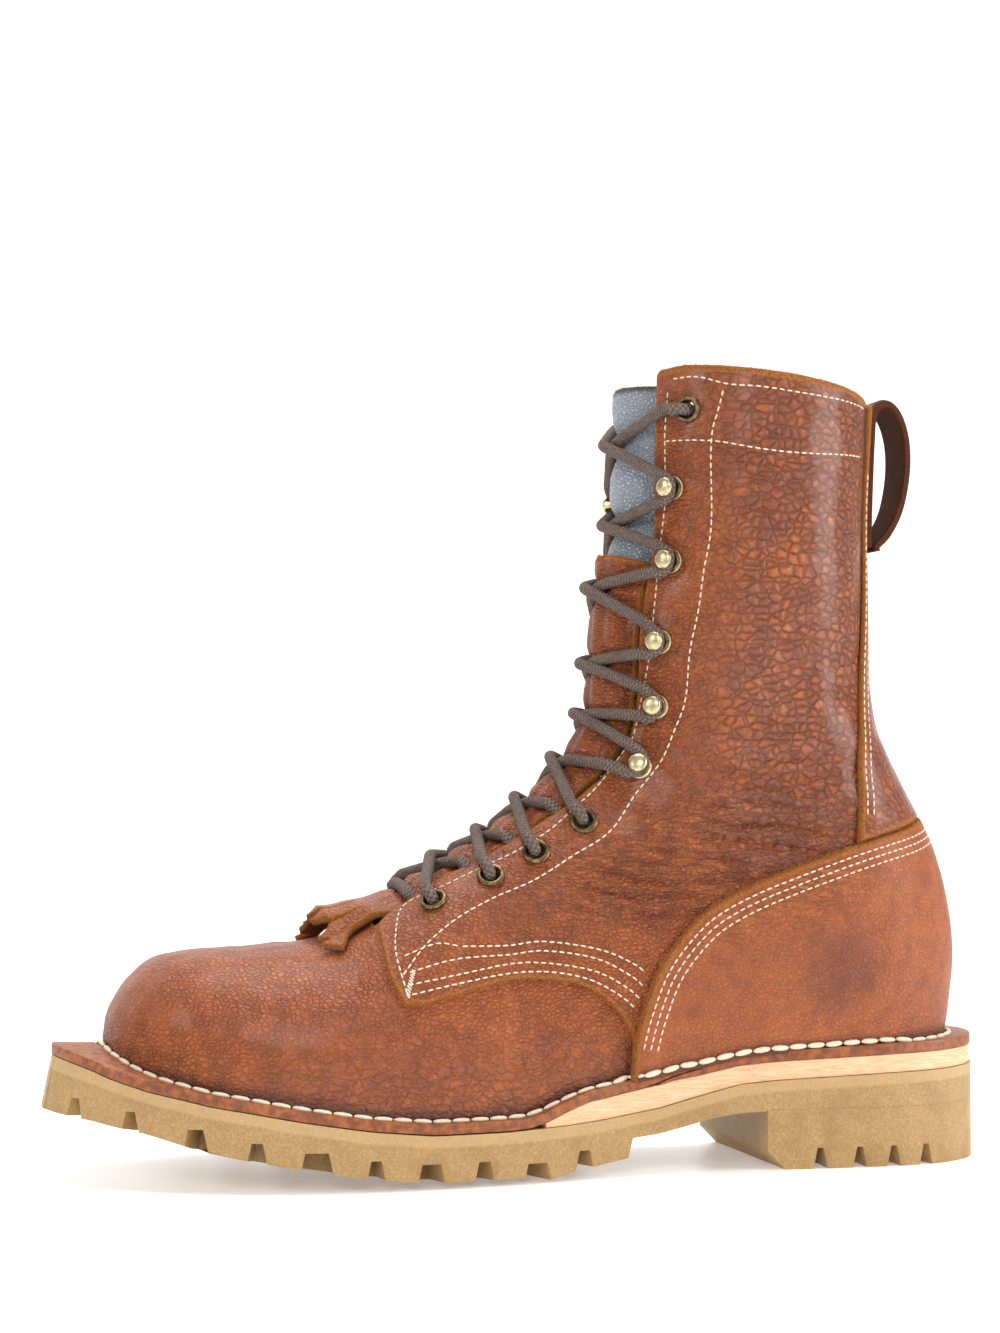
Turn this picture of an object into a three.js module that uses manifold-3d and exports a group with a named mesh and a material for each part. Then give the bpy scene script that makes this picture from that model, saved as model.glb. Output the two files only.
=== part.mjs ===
// A leather lace-up work boot for the left foot, in millimetres, +Z up.
// +X points to the toe and +Y to the wearer's left, the outer side of this boot.
// The upper is one hollow shell, and every overlay is cut from the same surface.

import * as THREE from 'three';
import { mergeVertices } from 'three/addons/utils/BufferGeometryUtils.js';
import Module from 'manifold-3d';

const wasm = await Module();
wasm.setup();

// ---------------------------------------------------------------- sizes

const SOLE_LENGTH = 325;
const BALL_WIDTH = 110;

// Sole, from the floor up.
const HEEL_RUBBER = 32.5;
const FORE_RUBBER = 17.1;
const HEEL_BLOCK = 19.8;
const HEEL_LENGTH = 86.5;
const HEEL_CHAMFER = 6.2;
const TOE_SPRING = 23.5;
const TREAD_CROWN = 2.2;
const MIDSOLE = 6.8;
const WELT = 3.7;
const WELT_REACH = 22;
const WELT_SCARF = 24;
const WELT_TIP = 1;
const INSOLE = 3;

// Tread.
const LUG_HEIGHT = 6;
const LUG_LENGTH = 19;
const LUG_GAP = 6;
const HEEL_LUG_HEIGHT = 7;
const HEEL_LUG_LENGTH = 13;

// Upper.
const TOE_BOX = 45;
const INSTEP = 108;
const SHAFT = 126.5;
const COLLAR_HEIGHT = 271.5;
const WALL = 1.5;
const QUARTER_STEP = 1.5;
const COUNTER = 2.3;
const BACKSTAY = 2;
const THROAT = 43;

// Tongue, its fringed cover, laces and hardware.
const TONGUE = 3;
const TONGUE_WIDTH = 62;
const TONGUE_ROOM = 1.8;
const COVER = 2.2;
const COVER_WIDTH = 38;
const COVER_ROOM = 1.4;
const COVER_SINK = 0.4;
const FRINGE = 9;
const LACE = 4.3;
const LACE_ROOM = 1.1;
const EYELET_FLANGE = 9.3;
const EYELET_BORE = 5;
const EYELET_RIM = 0.9;
const FACING_MARGIN = 9.5;
const HOOK_WIDTH = 7;
const HOOK_NECK = 2.4;
const HOOK_REACH = 8;
const HOOK_METAL = 1.2;
const LOOP_WIDTH = 19;
const LOOP_STRAP = 3.2;
const LOOP_DROP = 54;
const LOOP_BOW = 17;

// Clearance between pieces that lie on each other.
const GAP = 0.3;

// ---------------------------------------------------------------- tables

// Outline of the sole: share of the length, share of half the ball width.
// It starts at the back of the heel and runs along the outer side first.
const OUTLINE = [
  [0.000, 0.000], [0.018, 0.364], [0.062, 0.600], [0.114, 0.682],
  [0.185, 0.687], [0.262, 0.664], [0.338, 0.664], [0.415, 0.718],
  [0.492, 0.818], [0.569, 0.909], [0.646, 0.964], [0.723, 0.960],
  [0.794, 0.891], [0.855, 0.773], [0.911, 0.600], [0.954, 0.400],
  [0.985, 0.182], [1.000, -0.091], [0.991, -0.327], [0.963, -0.545],
  [0.917, -0.745], [0.855, -0.909], [0.785, -1.000], [0.708, -1.018],
  [0.631, -0.945], [0.554, -0.818], [0.477, -0.700], [0.400, -0.636],
  [0.323, -0.627], [0.246, -0.655], [0.169, -0.682], [0.114, -0.678],
  [0.062, -0.600], [0.018, -0.364],
];

// Rise of the tread towards the toe: share of the length, share of the toe spring.
const TREAD_RISE = [
  [0.529, 0.000], [0.631, 0.000], [0.695, 0.085], [0.763, 0.230], [0.812, 0.353],
  [0.852, 0.485], [0.909, 0.757], [0.958, 0.923], [1.000, 1.000],
];

// Thickness of the forefoot rubber, as a share of its thickness under the ball.
const FORE_SHARE = [
  [0.769, 1.000], [0.812, 1.000], [0.862, 0.930], [0.908, 0.820], [0.945, 0.870],
  [1.000, 1.000],
];

// How much of the extra heel rubber is there, from the heel to the ball.
const HEEL_SHARE = [
  [0.000, 1.000], [0.123, 0.935], [0.255, 0.825], [0.295, 0.760], [0.342, 0.526],
  [0.385, 0.312], [0.446, 0.136], [0.489, 0.058], [0.554, 0.000],
];

// Underside of the shank between the heel breast and the last forefoot lug,
// as a share of the height of the heel block.
const SHANK = [
  [0.295, 0.975], [0.325, 0.909], [0.356, 0.788], [0.386, 0.687], [0.415, 0.640],
  [0.420, 0.313], [0.462, 0.205], [0.489, 0.126], [0.515, 0.020],
];

// Thickness of the leather midsole, which tapers out at the waist.
const MIDSOLE_SHARE = [
  [0.000, 0.940], [0.295, 0.940], [0.342, 1.030], [0.369, 1.150], [0.415, 1.100],
  [0.462, 1.000], [0.489, 0.650], [0.511, 0.250], [0.529, 0.050], [1.000, 0.000],
];

// Grooves between the forefoot lugs: share of the length, width in groove widths.
const LUG_GROOVES = [
  [0.974, 0.95], [0.923, 0.90], [0.863, 1.20], [0.805, 0.95], [0.749, 1.60],
  [0.689, 0.90], [0.633, 1.40], [0.578, 1.00], [0.521, 1.50], [0.468, 1.00],
];

// Grooves in the edge of the heel block, as shares of the heel's length.
const HEEL_GROOVES = [0.790, 0.628, 0.484, 0.340];

// Sections of the upper, from the toe to just above the collar. Each lies in a
// plane through a ridge point and a base point, and holds: ridge along, ridge
// up, base along, base up, outer half width, inner half width, middle line,
// height of the widest place, and the fullness of the lower and upper arcs.
// Lengths along are shares of the sole's length, widths of half the ball width.
// Heights start at the seat line. In the first TOE_ROWS rows they are shares of
// the toe box, and then of the instep up to 1 and of the shaft beyond that.
const TOE_ROWS = 6;
const UPPER = [
  [0.937, 0.169, 0.937, 0.169, -0.145, 0.145, -0.145, 0.50, 3.0, 2.40],
  [0.933, 0.311, 0.933, 0.000, 0.036, 0.327, -0.145, 0.50, 3.0, 2.40],
  [0.925, 0.463, 0.925, -0.159, 0.200, 0.491, -0.145, 0.47, 3.2, 2.40],
  [0.908, 0.675, 0.908, -0.232, 0.382, 0.655, -0.136, 0.44, 3.6, 2.40],
  [0.880, 0.859, 0.880, -0.297, 0.564, 0.791, -0.127, 0.42, 4.0, 2.40],
  [0.837, 0.973, 0.837, -0.298, 0.727, 0.909, -0.109, 0.40, 4.5, 2.40],
  [0.769, 0.454, 0.769, -0.135, 0.855, 0.973, -0.082, 0.38, 5.0, 2.40],
  [0.708, 0.505, 0.702, -0.135, 0.900, 0.973, -0.055, 0.38, 5.0, 2.50],
  [0.658, 0.600, 0.631, -0.132, 0.882, 0.909, -0.036, 0.38, 5.0, 2.80],
  [0.606, 0.715, 0.548, -0.119, 0.818, 0.800, -0.018, 0.38, 5.0, 2.90],
  [0.551, 0.816, 0.455, -0.125, 0.727, 0.700, 0.000, 0.38, 4.5, 2.80],
  [0.502, 0.895, 0.354, -0.105, 0.673, 0.645, 0.000, 0.40, 4.2, 2.70],
  [0.463, 0.944, 0.246, -0.121, 0.655, 0.636, 0.000, 0.45, 4.0, 2.60],
  [0.434, 1.011, 0.138, -0.115, 0.655, 0.645, 0.000, 0.50, 3.6, 2.60],
  [0.417, 1.066, 0.065, -0.102, 0.664, 0.655, 0.000, 0.52, 3.0, 2.60],
  [0.408, 1.133, 0.037, 0.145, 0.673, 0.664, 0.000, 0.54, 2.4, 2.60],
  [0.404, 1.211, 0.035, 0.349, 0.682, 0.673, 0.000, 0.56, 2.2, 2.50],
  [0.402, 1.289, 0.052, 0.563, 0.691, 0.682, 0.000, 0.56, 2.1, 2.50],
  [0.398, 1.367, 0.086, 0.760, 0.718, 0.709, 0.000, 0.55, 2.1, 2.40],
  [0.392, 1.447, 0.117, 0.939, 0.745, 0.736, 0.000, 0.53, 2.1, 2.30],
  [0.385, 1.527, 0.129, 1.083, 0.773, 0.764, 0.000, 0.52, 2.1, 2.20],
  [0.381, 1.620, 0.134, 1.273, 0.800, 0.791, 0.000, 0.50, 2.2, 2.20],
  [0.380, 1.777, 0.135, 1.518, 0.818, 0.809, 0.000, 0.50, 2.2, 2.20],
  [0.378, 1.918, 0.132, 1.739, 0.827, 0.818, 0.000, 0.50, 2.2, 2.20],
  [0.377, 2.028, 0.128, 1.905, 0.827, 0.818, 0.000, 0.50, 2.2, 2.20],
  [0.377, 2.123, 0.126, 2.000, 0.827, 0.818, 0.000, 0.50, 2.2, 2.20],
];

// Lower edge of the quarters in side view: share of the length, share of the
// collar height. It runs from the throat round the corner and back to the counter.
const QUARTER_EDGE = [
  [0.662, 0.400], [0.657, 0.345], [0.667, 0.318], [0.671, 0.280], [0.670, 0.250],
  [0.657, 0.214], [0.604, 0.226], [0.550, 0.241], [0.510, 0.241], [0.470, 0.233],
  [0.443, 0.214], [0.432, 0.180], [0.426, 0.100], [0.424, 0.000],
];

// Front and top edge of the counter, from the welt to the back seam.
const COUNTER_EDGE = [
  [0.420, 0.060], [0.417, 0.138], [0.411, 0.177], [0.399, 0.219], [0.385, 0.255],
  [0.362, 0.291], [0.333, 0.323], [0.291, 0.350], [0.244, 0.372], [0.190, 0.394],
  [0.146, 0.409], [0.092, 0.424], [0.040, 0.440], [-0.060, 0.462],
];

// Front edge of the backstay, from the counter up.
const BACKSTAY_EDGE = [
  [0.168, 0.380], [0.166, 0.456], [0.167, 0.508], [0.160, 0.585], [0.156, 0.649],
  [0.151, 0.713], [0.148, 0.752], [0.144, 0.850], [0.142, 0.962],
];

// Top edge of the shaft, from the back: it falls away behind the ankle.
const COLLAR_EDGE = [
  [0.000, 0.967], [0.145, 0.967], [0.185, 0.976], [0.249, 0.987], [0.317, 0.996],
  [0.348, 1.000], [0.382, 0.995], [0.600, 0.990],
];

// Lace levels at the facing: share of the collar height, distance from the edge
// in facing margins. Four low eyelets and the one at the top, then five hooks.
const EYELET_LEVELS = [
  [0.332, 1.0], [0.362, 1.0], [0.391, 1.0], [0.429, 1.0], [0.943, 1.5],
];
const HOOK_LEVELS = [[0.496, 1.0], [0.573, 1.0], [0.654, 1.0], [0.754, 1.0], [0.846, 1.0]];

// How far the middle of the tongue's cover stands proud of the upper's ridge,
// from the fringe to its top, as a share of the instep.
const COVER_RISE = [
  [0.000, 0.079], [0.020, 0.097], [0.065, 0.076], [0.095, 0.051], [0.140, 0.030],
  [0.170, 0.014], [0.250, 0.005], [0.320, 0.009], [0.400, 0.026], [0.475, 0.051],
  [0.550, 0.060], [0.630, 0.064], [0.700, 0.063], [0.780, 0.067], [0.855, 0.069],
  [0.930, 0.081], [1.000, 0.091],
];

// ---------------------------------------------------------------- numbers

// Value of a two-column table at x, straight between its rows.
function lookUp(table, x) {
  if (x <= table[0][0]) return table[0][1];
  for (let i = 1; i < table.length; i += 1) {
    const [x1, y1] = table[i];
    if (x <= x1) {
      const [x0, y0] = table[i - 1];
      return y0 + (y1 - y0) * (x - x0) / (x1 - x0);
    }
  }
  return table[table.length - 1][1];
}

// Smooth value of one column of a table at a fractional row number.
function smoothColumn(table, column, t) {
  const last = table.length - 1;
  const i = Math.min(Math.max(Math.floor(t), 0), last - 1);
  const u = t - i;
  const p1 = table[i][column];
  const p2 = table[i + 1][column];
  const p0 = i > 0 ? table[i - 1][column] : 2 * p1 - p2;
  const p3 = i < last - 1 ? table[i + 2][column] : 2 * p2 - p1;
  const a = 2 * p1;
  const b = (p2 - p0) * u;
  const c = (2 * p0 - 5 * p1 + 4 * p2 - p3) * u * u;
  const d = (3 * p1 - p0 - 3 * p2 + p3) * u * u * u;
  return (a + b + c + d) / 2;
}

const halfBall = BALL_WIDTH / 2;

// Height of the sole's layers at a distance s from the back of the heel.
function forefoot(s) {
  return THREE.MathUtils.smoothstep(s / SOLE_LENGTH, 0.42, 0.52);
}
function treadLine(s) {
  return TOE_SPRING * lookUp(TREAD_RISE, s / SOLE_LENGTH);
}
function rubberTop(s) {
  const x = s / SOLE_LENGTH;
  const fore = FORE_RUBBER * lookUp(FORE_SHARE, x);
  return treadLine(s) + fore + (HEEL_RUBBER - FORE_RUBBER) * lookUp(HEEL_SHARE, x);
}
function midsoleTop(s) {
  return rubberTop(s) + MIDSOLE * lookUp(MIDSOLE_SHARE, s / SOLE_LENGTH);
}
function seatLine(s) {
  return midsoleTop(s) + WELT;
}

// ---------------------------------------------------------------- solids

// A closed mesh as a solid for cutting and joining.
function solid(geometry) {
  const bare = geometry.clone();
  bare.deleteAttribute('normal');
  bare.deleteAttribute('uv');
  const merged = mergeVertices(bare, 1e-4);
  const vertProperties = new Float32Array(merged.attributes.position.array);
  const triVerts = new Uint32Array(merged.index.array);
  return new wasm.Manifold(new wasm.Mesh({ numProp: 3, vertProperties, triVerts }));
}

function geometryOf(body) {
  const mesh = body.getMesh();
  const geometry = new THREE.BufferGeometry();
  geometry.setAttribute('position', new THREE.BufferAttribute(mesh.vertProperties, 3));
  geometry.setIndex(new THREE.BufferAttribute(mesh.triVerts, 1));
  geometry.computeVertexNormals();
  return geometry;
}

// A side-view outline of [along, up] points, extruded across from y0 to y1.
function sideSlab(points, y0, y1) {
  const shape = new THREE.Shape(points.map(([x, z]) => new THREE.Vector2(x, z)));
  const options = { depth: y1 - y0, bevelEnabled: false, steps: 1 };
  const geometry = new THREE.ExtrudeGeometry(shape, options);
  geometry.rotateX(Math.PI / 2);
  geometry.translate(0, y1, 0);
  return solid(geometry);
}

// A plan outline of [along, across] points, extruded up from z0 to z1.
function planSlab(points, z0, z1) {
  const shape = new THREE.Shape(points.map(([x, y]) => new THREE.Vector2(x, y)));
  const options = { depth: z1 - z0, bevelEnabled: false, steps: 1 };
  const geometry = new THREE.ExtrudeGeometry(shape, options);
  geometry.translate(0, 0, z0);
  return solid(geometry);
}

// Points of a closed outline moved inwards by a distance.
function inset(points, distance) {
  const count = points.length;
  return points.map(([x, y], i) => {
    const [x0, y0] = points[(i + count - 1) % count];
    const [x1, y1] = points[(i + 1) % count];
    const length = Math.hypot(x1 - x0, y1 - y0);
    return [x - distance * (y0 - y1) / length, y - distance * (x1 - x0) / length];
  });
}

// ---------------------------------------------------------------- sole

const outlineCurve = new THREE.CatmullRomCurve3(
  OUTLINE.map(([x, y]) => new THREE.Vector3(x * SOLE_LENGTH, y * halfBall, 0)),
  true,
);
const OUTLINE_POINTS = 54;
const soleOutline = outlineCurve
  .getSpacedPoints(OUTLINE_POINTS)
  .slice(0, OUTLINE_POINTS)
  .map((p) => [p.x, p.y]);
const outlineYs = soleOutline.map(([, y]) => y);
const midY = (Math.max(...outlineYs) + Math.min(...outlineYs)) / 2;
const outlineXs = soleOutline.map(([x]) => x);
const midX = (Math.max(...outlineXs) + Math.min(...outlineXs)) / 2;

// Stations along the sole where its layers have corners.
const layerStations = [];
for (let s = -6; s < SOLE_LENGTH + 9; s += 12) layerStations.push(s);

// The layer between two height functions, from s0 to s1.
function layer(bottom, top, s0, s1) {
  const inside = layerStations.filter((s) => s > s0 + 2 && s < s1 - 2);
  const stations = [s0, ...inside, s1];
  const up = stations.map((s) => [s, top(s)]);
  const down = stations.map((s) => [s, bottom(s)]).reverse();
  return sideSlab([...down, ...up], -BALL_WIDTH, BALL_WIDTH);
}

const underSole = -20;
const overSole = COLLAR_HEIGHT;
const wholePlan = planSlab(soleOutline, underSole, overSole);

// Place and inward direction on the outline at a distance along one side.
function edgeAt(s, side) {
  let best = null;
  for (let i = 0; i < soleOutline.length; i += 1) {
    const a = soleOutline[i];
    const b = soleOutline[(i + 1) % soleOutline.length];
    const low = Math.min(a[0], b[0]);
    const high = Math.max(a[0], b[0]);
    const share = (s - a[0]) / (b[0] - a[0]);
    const y = a[1] + (b[1] - a[1]) * share;
    const right = side > 0 ? y > midY : y < midY;
    if (s >= low && s <= high && right) best = { a, b, y };
  }
  const along = new THREE.Vector3(best.b[0] - best.a[0], best.b[1] - best.a[1], 0);
  along.normalize();
  const inward = new THREE.Vector3(along.y, -along.x, 0);
  return { point: new THREE.Vector3(s, best.y, 0), inward };
}

// A groove that runs in from the edge, wider at the floor than at its roof.
function edgeGroove(s, side, width, length, floor, height) {
  const { point, inward } = edgeAt(s, side);
  const below = 3;
  const flare = 0.35;
  const low = width / 2 + flare * below;
  const high = width / 2 - flare * height / 2;
  const shape = new THREE.Shape([
    new THREE.Vector2(-low, floor - below),
    new THREE.Vector2(low, floor - below),
    new THREE.Vector2(high, floor + height),
    new THREE.Vector2(-high, floor + height),
  ]);
  const outside = 6;
  const options = { depth: length + outside, bevelEnabled: false, steps: 1 };
  const geometry = new THREE.ExtrudeGeometry(shape, options);
  const up = new THREE.Vector3(0, 0, 1);
  const across = new THREE.Vector3().crossVectors(up, inward);
  const start = point.clone().addScaledVector(inward, -outside);
  const matrix = new THREE.Matrix4().makeBasis(across, up, inward).setPosition(start);
  return solid(geometry.applyMatrix4(matrix));
}

function underside(s) {
  const x = s / SOLE_LENGTH;
  if (x > SHANK[SHANK.length - 1][0]) return treadLine(s);
  return HEEL_BLOCK * lookUp(SHANK, x);
}

function makeOutsole() {
  const bottom = [[-6, HEEL_BLOCK + GAP], [HEEL_LENGTH + GAP, HEEL_BLOCK + GAP]];
  bottom.push([HEEL_LENGTH + GAP, HEEL_BLOCK]);
  for (const [x] of [...SHANK, ...TREAD_RISE]) {
    bottom.push([x * SOLE_LENGTH, underside(x * SOLE_LENGTH)]);
  }
  const tip = SOLE_LENGTH + 6;
  bottom.push([tip, treadLine(tip)]);
  const top = layerStations.filter((s) => s < tip - 2).map((s) => [s, rubberTop(s)]);
  top.push([tip, rubberTop(tip)]);
  let body = sideSlab([...bottom, ...top.reverse()], -BALL_WIDTH, BALL_WIDTH);
  body = body.intersect(wholePlan);

  for (const [x, width] of LUG_GROOVES) {
    const s = x * SOLE_LENGTH;
    for (const side of [1, -1]) {
      const groove = edgeGroove(s, side, width * LUG_GAP, LUG_LENGTH, underside(s), LUG_HEIGHT);
      body = body.subtract(groove);
    }
  }

  // A channel runs round behind the edge lugs, and short grooves part the lugs
  // in the middle halfway between the edge grooves.
  const roof = (s) => underside(s) + LUG_HEIGHT - 1;
  const floor = (s) => underside(s) - 3;
  const first = 0.500 * SOLE_LENGTH;
  const last = 0.900 * SOLE_LENGTH;
  const tread = layer(floor, roof, first, last);
  const around = planSlab(inset(soleOutline, LUG_LENGTH), underSole, overSole);
  const middle = planSlab(inset(soleOutline, LUG_LENGTH + LUG_GAP * 0.8), underSole, overSole);
  body = body.subtract(tread.intersect(around.subtract(middle)));
  for (let i = 2; i < LUG_GROOVES.length - 1; i += 1) {
    const s = (LUG_GROOVES[i][0] + LUG_GROOVES[i + 1][0]) / 2 * SOLE_LENGTH;
    const half = LUG_GAP * 0.45;
    const cut = layer(floor, roof, s - half, s + half);
    body = body.subtract(cut.intersect(around));
  }

  const geometry = geometryOf(body);
  raiseEdges(geometry);
  return geometry;
}

// The forefoot's tread is crowned: its edges stand a little off the floor.
function raiseEdges(geometry) {
  const position = geometry.attributes.position;
  for (let i = 0; i < position.count; i += 1) {
    const s = position.getX(i);
    const out = Math.abs(position.getY(i)) / halfBall;
    const share = THREE.MathUtils.clamp((out - 0.36) / 0.45, 0, 1);
    const depth = (rubberTop(s) - position.getZ(i)) / (rubberTop(s) - underside(s));
    const low = THREE.MathUtils.clamp(depth, 0, 1);
    const rise = TREAD_CROWN * forefoot(s) * share * share * low;
    position.setZ(i, position.getZ(i) + rise);
  }
  geometry.computeVertexNormals();
}

function makeHeel() {
  const profile = [
    [-6, 0],
    [HEEL_LENGTH - HEEL_CHAMFER, 0],
    [HEEL_LENGTH, HEEL_CHAMFER],
    [HEEL_LENGTH, HEEL_BLOCK],
    [-6, HEEL_BLOCK],
  ];
  let body = sideSlab(profile, -BALL_WIDTH, BALL_WIDTH).intersect(wholePlan);
  for (const share of HEEL_GROOVES) {
    const s = share * HEEL_LENGTH;
    for (const side of [1, -1]) {
      const width = LUG_GAP * 0.75;
      body = body.subtract(edgeGroove(s, side, width, HEEL_LUG_LENGTH, 0, HEEL_LUG_HEIGHT));
    }
  }
  return geometryOf(body);
}

const midsoleEnd = 0.515 * SOLE_LENGTH;

function makeMidsole() {
  const bottom = (s) => rubberTop(s) + GAP;
  const plan = planSlab(inset(soleOutline, 0.6), underSole, overSole);
  return geometryOf(layer(bottom, midsoleTop, -6, midsoleEnd).intersect(plan));
}

// The strip under the upper's edge: outline minus the part inside its reach.
const stripPlan = planSlab(inset(soleOutline, 0.2), underSole, overSole)
  .subtract(planSlab(inset(soleOutline, WELT_REACH), underSole, overSole));
const scarfFront = 0.410 * SOLE_LENGTH;
const scarfBack = scarfFront - WELT_SCARF;

// Underside of the welt: thin at its back end, where it laps over the heel rand.
function weltUnderside(s) {
  const full = midsoleTop(s) + GAP;
  const thin = seatLine(s) - WELT_TIP;
  const share = THREE.MathUtils.clamp((s - scarfBack) / WELT_SCARF, 0, 1);
  return thin + (full - thin) * share;
}

function makeWelt() {
  const strip = layer(weltUnderside, seatLine, scarfBack, SOLE_LENGTH + 6);
  return geometryOf(strip.intersect(stripPlan));
}

function makeHeelRand() {
  const bottom = (s) => midsoleTop(s) + GAP;
  const top = (s) => weltUnderside(s) - GAP;
  const end = scarfBack + WELT_SCARF * 0.7;
  const back = layer(bottom, seatLine, -6, scarfBack - GAP);
  const tail = layer(bottom, top, scarfBack - GAP - 0.01, end);
  return geometryOf(back.add(tail).intersect(stripPlan));
}

// ---------------------------------------------------------------- upper surface

// Height above the floor of a section's ridge or base point.
function sectionHeight(t, s, rise) {
  const seat = seatLine(s);
  const toe = seat + rise * TOE_BOX;
  const leg = seat + (rise <= 1 ? rise * INSTEP : INSTEP + (rise - 1) * SHAFT);
  const share = THREE.MathUtils.clamp(t - (TOE_ROWS - 1), 0, 1);
  return toe + (leg - toe) * share;
}

// The heights are worked out row by row first, so that they stay smooth between.
const sections = UPPER.map((row, i) => {
  const [ridgeX, ridgeUp, baseX, baseUp, outer, inner, middle, ...form] = row;
  const s0 = ridgeX * SOLE_LENGTH;
  const s1 = baseX * SOLE_LENGTH;
  const ridge = [s0, sectionHeight(i, s0, ridgeUp)];
  const base = [s1, sectionHeight(i, s1, baseUp)];
  return [...ridge, ...base, outer * halfBall, inner * halfBall, middle * halfBall, ...form];
});
const lastSection = sections.length - 1;

const DENSE = 72;
const sectionCache = new Map();

// One half of a section as a dense line from the ridge to the base, with the
// length run so far at each point. side is +1 for the outer half.
function halfSection(t, side) {
  const key = `${t.toFixed(5)}/${side}`;
  if (sectionCache.has(key)) return sectionCache.get(key);
  const values = sections[0].map((_, column) => smoothColumn(sections, column, t));
  const [rx, rz, bx, bz, outer, inner, middle, widest, lowFull, highFull] = values;
  const reach = side > 0 ? outer - middle : -inner - middle;
  const points = [];
  const lengths = [0];
  for (let k = 0; k <= DENSE; k += 1) {
    const angle = Math.PI * k / DENSE;
    const power = 2 / (angle <= Math.PI / 2 ? highFull : lowFull);
    const across = Math.pow(Math.max(Math.sin(angle), 0), power);
    const rise = Math.pow(Math.abs(Math.cos(angle)), power);
    const up = angle <= Math.PI / 2 ? widest + (1 - widest) * rise : widest * (1 - rise);
    const x = bx + (rx - bx) * up;
    const z = bz + (rz - bz) * up;
    points.push(new THREE.Vector3(x, middle + reach * across, z));
    if (k > 0) lengths.push(lengths[k - 1] + points[k].distanceTo(points[k - 1]));
  }
  const half = { points, lengths, total: lengths[DENSE] };
  sectionCache.set(key, half);
  return half;
}

// The point of a half section at a length run from its ridge.
function alongHalf(half, length) {
  const wanted = THREE.MathUtils.clamp(length, 0, half.total);
  let k = 1;
  while (k < DENSE && half.lengths[k] < wanted) k += 1;
  const step = half.lengths[k] - half.lengths[k - 1];
  const share = step > 0 ? (wanted - half.lengths[k - 1]) / step : 0;
  return half.points[k - 1].clone().lerp(half.points[k], share);
}

// Surface point at section t and share v round one side.
function surfacePoint(t, v, side) {
  const half = halfSection(t, side);
  return alongHalf(half, v * half.total);
}

function surfaceNormal(t, v, side) {
  if (t < 0.02) return new THREE.Vector3(1, 0, 0);
  const dt = 0.05;
  const dv = 0.02;
  const t0 = Math.max(t - dt, 0.01);
  const t1 = Math.min(t + dt, lastSection);
  const along = surfacePoint(t1, v, side).sub(surfacePoint(t0, v, side));
  const round = new THREE.Vector3();
  if (v < dv) {
    round.subVectors(surfacePoint(t, dv, side), surfacePoint(t, dv, -side));
  } else if (v > 1 - dv) {
    round.subVectors(surfacePoint(t, 1 - dv, -side), surfacePoint(t, 1 - dv, side));
  } else {
    round.subVectors(surfacePoint(t, v + dv, side), surfacePoint(t, v - dv, side));
  }
  return new THREE.Vector3().crossVectors(round, along).multiplyScalar(side).normalize();
}

// The same surface by the distance round from the ridge in millimetres,
// positive to the outer side, moved outwards by an offset.
function onUpper(t, round, offset) {
  const side = round < 0 ? -1 : 1;
  const half = halfSection(t, side);
  const v = Math.abs(round) / half.total;
  const normal = surfaceNormal(t, v, side);
  return { point: surfacePoint(t, v, side).addScaledVector(normal, offset), normal };
}

// Section number where the surface at a distance round reaches a height.
function sectionAtHeight(z, round) {
  let low = TOE_ROWS;
  let high = lastSection;
  for (let k = 0; k < 40; k += 1) {
    const middle = (low + high) / 2;
    if (onUpper(middle, round, 0).point.z < z) low = middle;
    else high = middle;
  }
  return (low + high) / 2;
}

// Section number where the ridge reaches a distance along the sole.
function sectionAtRidge(s) {
  let low = 0;
  let high = TOE_ROWS + 8;
  for (let k = 0; k < 40; k += 1) {
    const middle = (low + high) / 2;
    if (smoothColumn(sections, 0, middle) > s) low = middle;
    else high = middle;
  }
  return (low + high) / 2;
}

// ---------------------------------------------------------------- upper forms

const RING_STEPS = 10;
const STATION_STEP = 1;

// Closed mesh from rings of points, with a fan at each end.
function closeRings(rings, start, end) {
  const count = rings[0].length;
  const positions = [start, ...rings.flat(), end].flatMap((p) => [p.x, p.y, p.z]);
  const at = (i, j) => 1 + i * count + (j % count);
  const index = [];
  const last = 1 + rings.length * count;
  for (let j = 0; j < count; j += 1) {
    index.push(0, at(0, j + 1), at(0, j));
    index.push(last, at(rings.length - 1, j), at(rings.length - 1, j + 1));
    for (let i = 0; i < rings.length - 1; i += 1) {
      index.push(at(i, j), at(i, j + 1), at(i + 1, j));
      index.push(at(i, j + 1), at(i + 1, j + 1), at(i + 1, j));
    }
  }
  const geometry = new THREE.BufferGeometry();
  geometry.setAttribute('position', new THREE.Float32BufferAttribute(positions, 3));
  geometry.setIndex(index);
  return geometry;
}

// The foot-and-leg form, moved outwards by an offset, as one closed solid.
function form(offset) {
  const rings = [];
  const stations = [];
  for (let t = 0.5; t < lastSection - 0.3; t += STATION_STEP) stations.push(t);
  stations.push(lastSection);
  for (const t of stations) {
    const ring = [];
    for (let j = 0; j <= RING_STEPS; j += 1) ring.push([j / RING_STEPS, 1]);
    for (let j = RING_STEPS - 1; j > 0; j -= 1) ring.push([j / RING_STEPS, -1]);
    rings.push(ring.map(([v, side]) => {
      const normal = surfaceNormal(t, v, side);
      return surfacePoint(t, v, side).addScaledVector(normal, offset);
    }));
  }
  const start = surfacePoint(0, 0, 1).add(new THREE.Vector3(offset, 0, 0));
  const top = rings[rings.length - 1];
  const end = top.reduce((sum, p) => sum.add(p), new THREE.Vector3()).divideScalar(top.length);
  return solid(closeRings(rings, start, end));
}

const beyond = 60;
const aside = BALL_WIDTH;

// Everything below the upper's lower edge.
function underSeat(clearance) {
  const edge = (s) => seatLine(s) + clearance;
  return layer(() => underSole - beyond, edge, -6, SOLE_LENGTH + 6);
}

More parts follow.
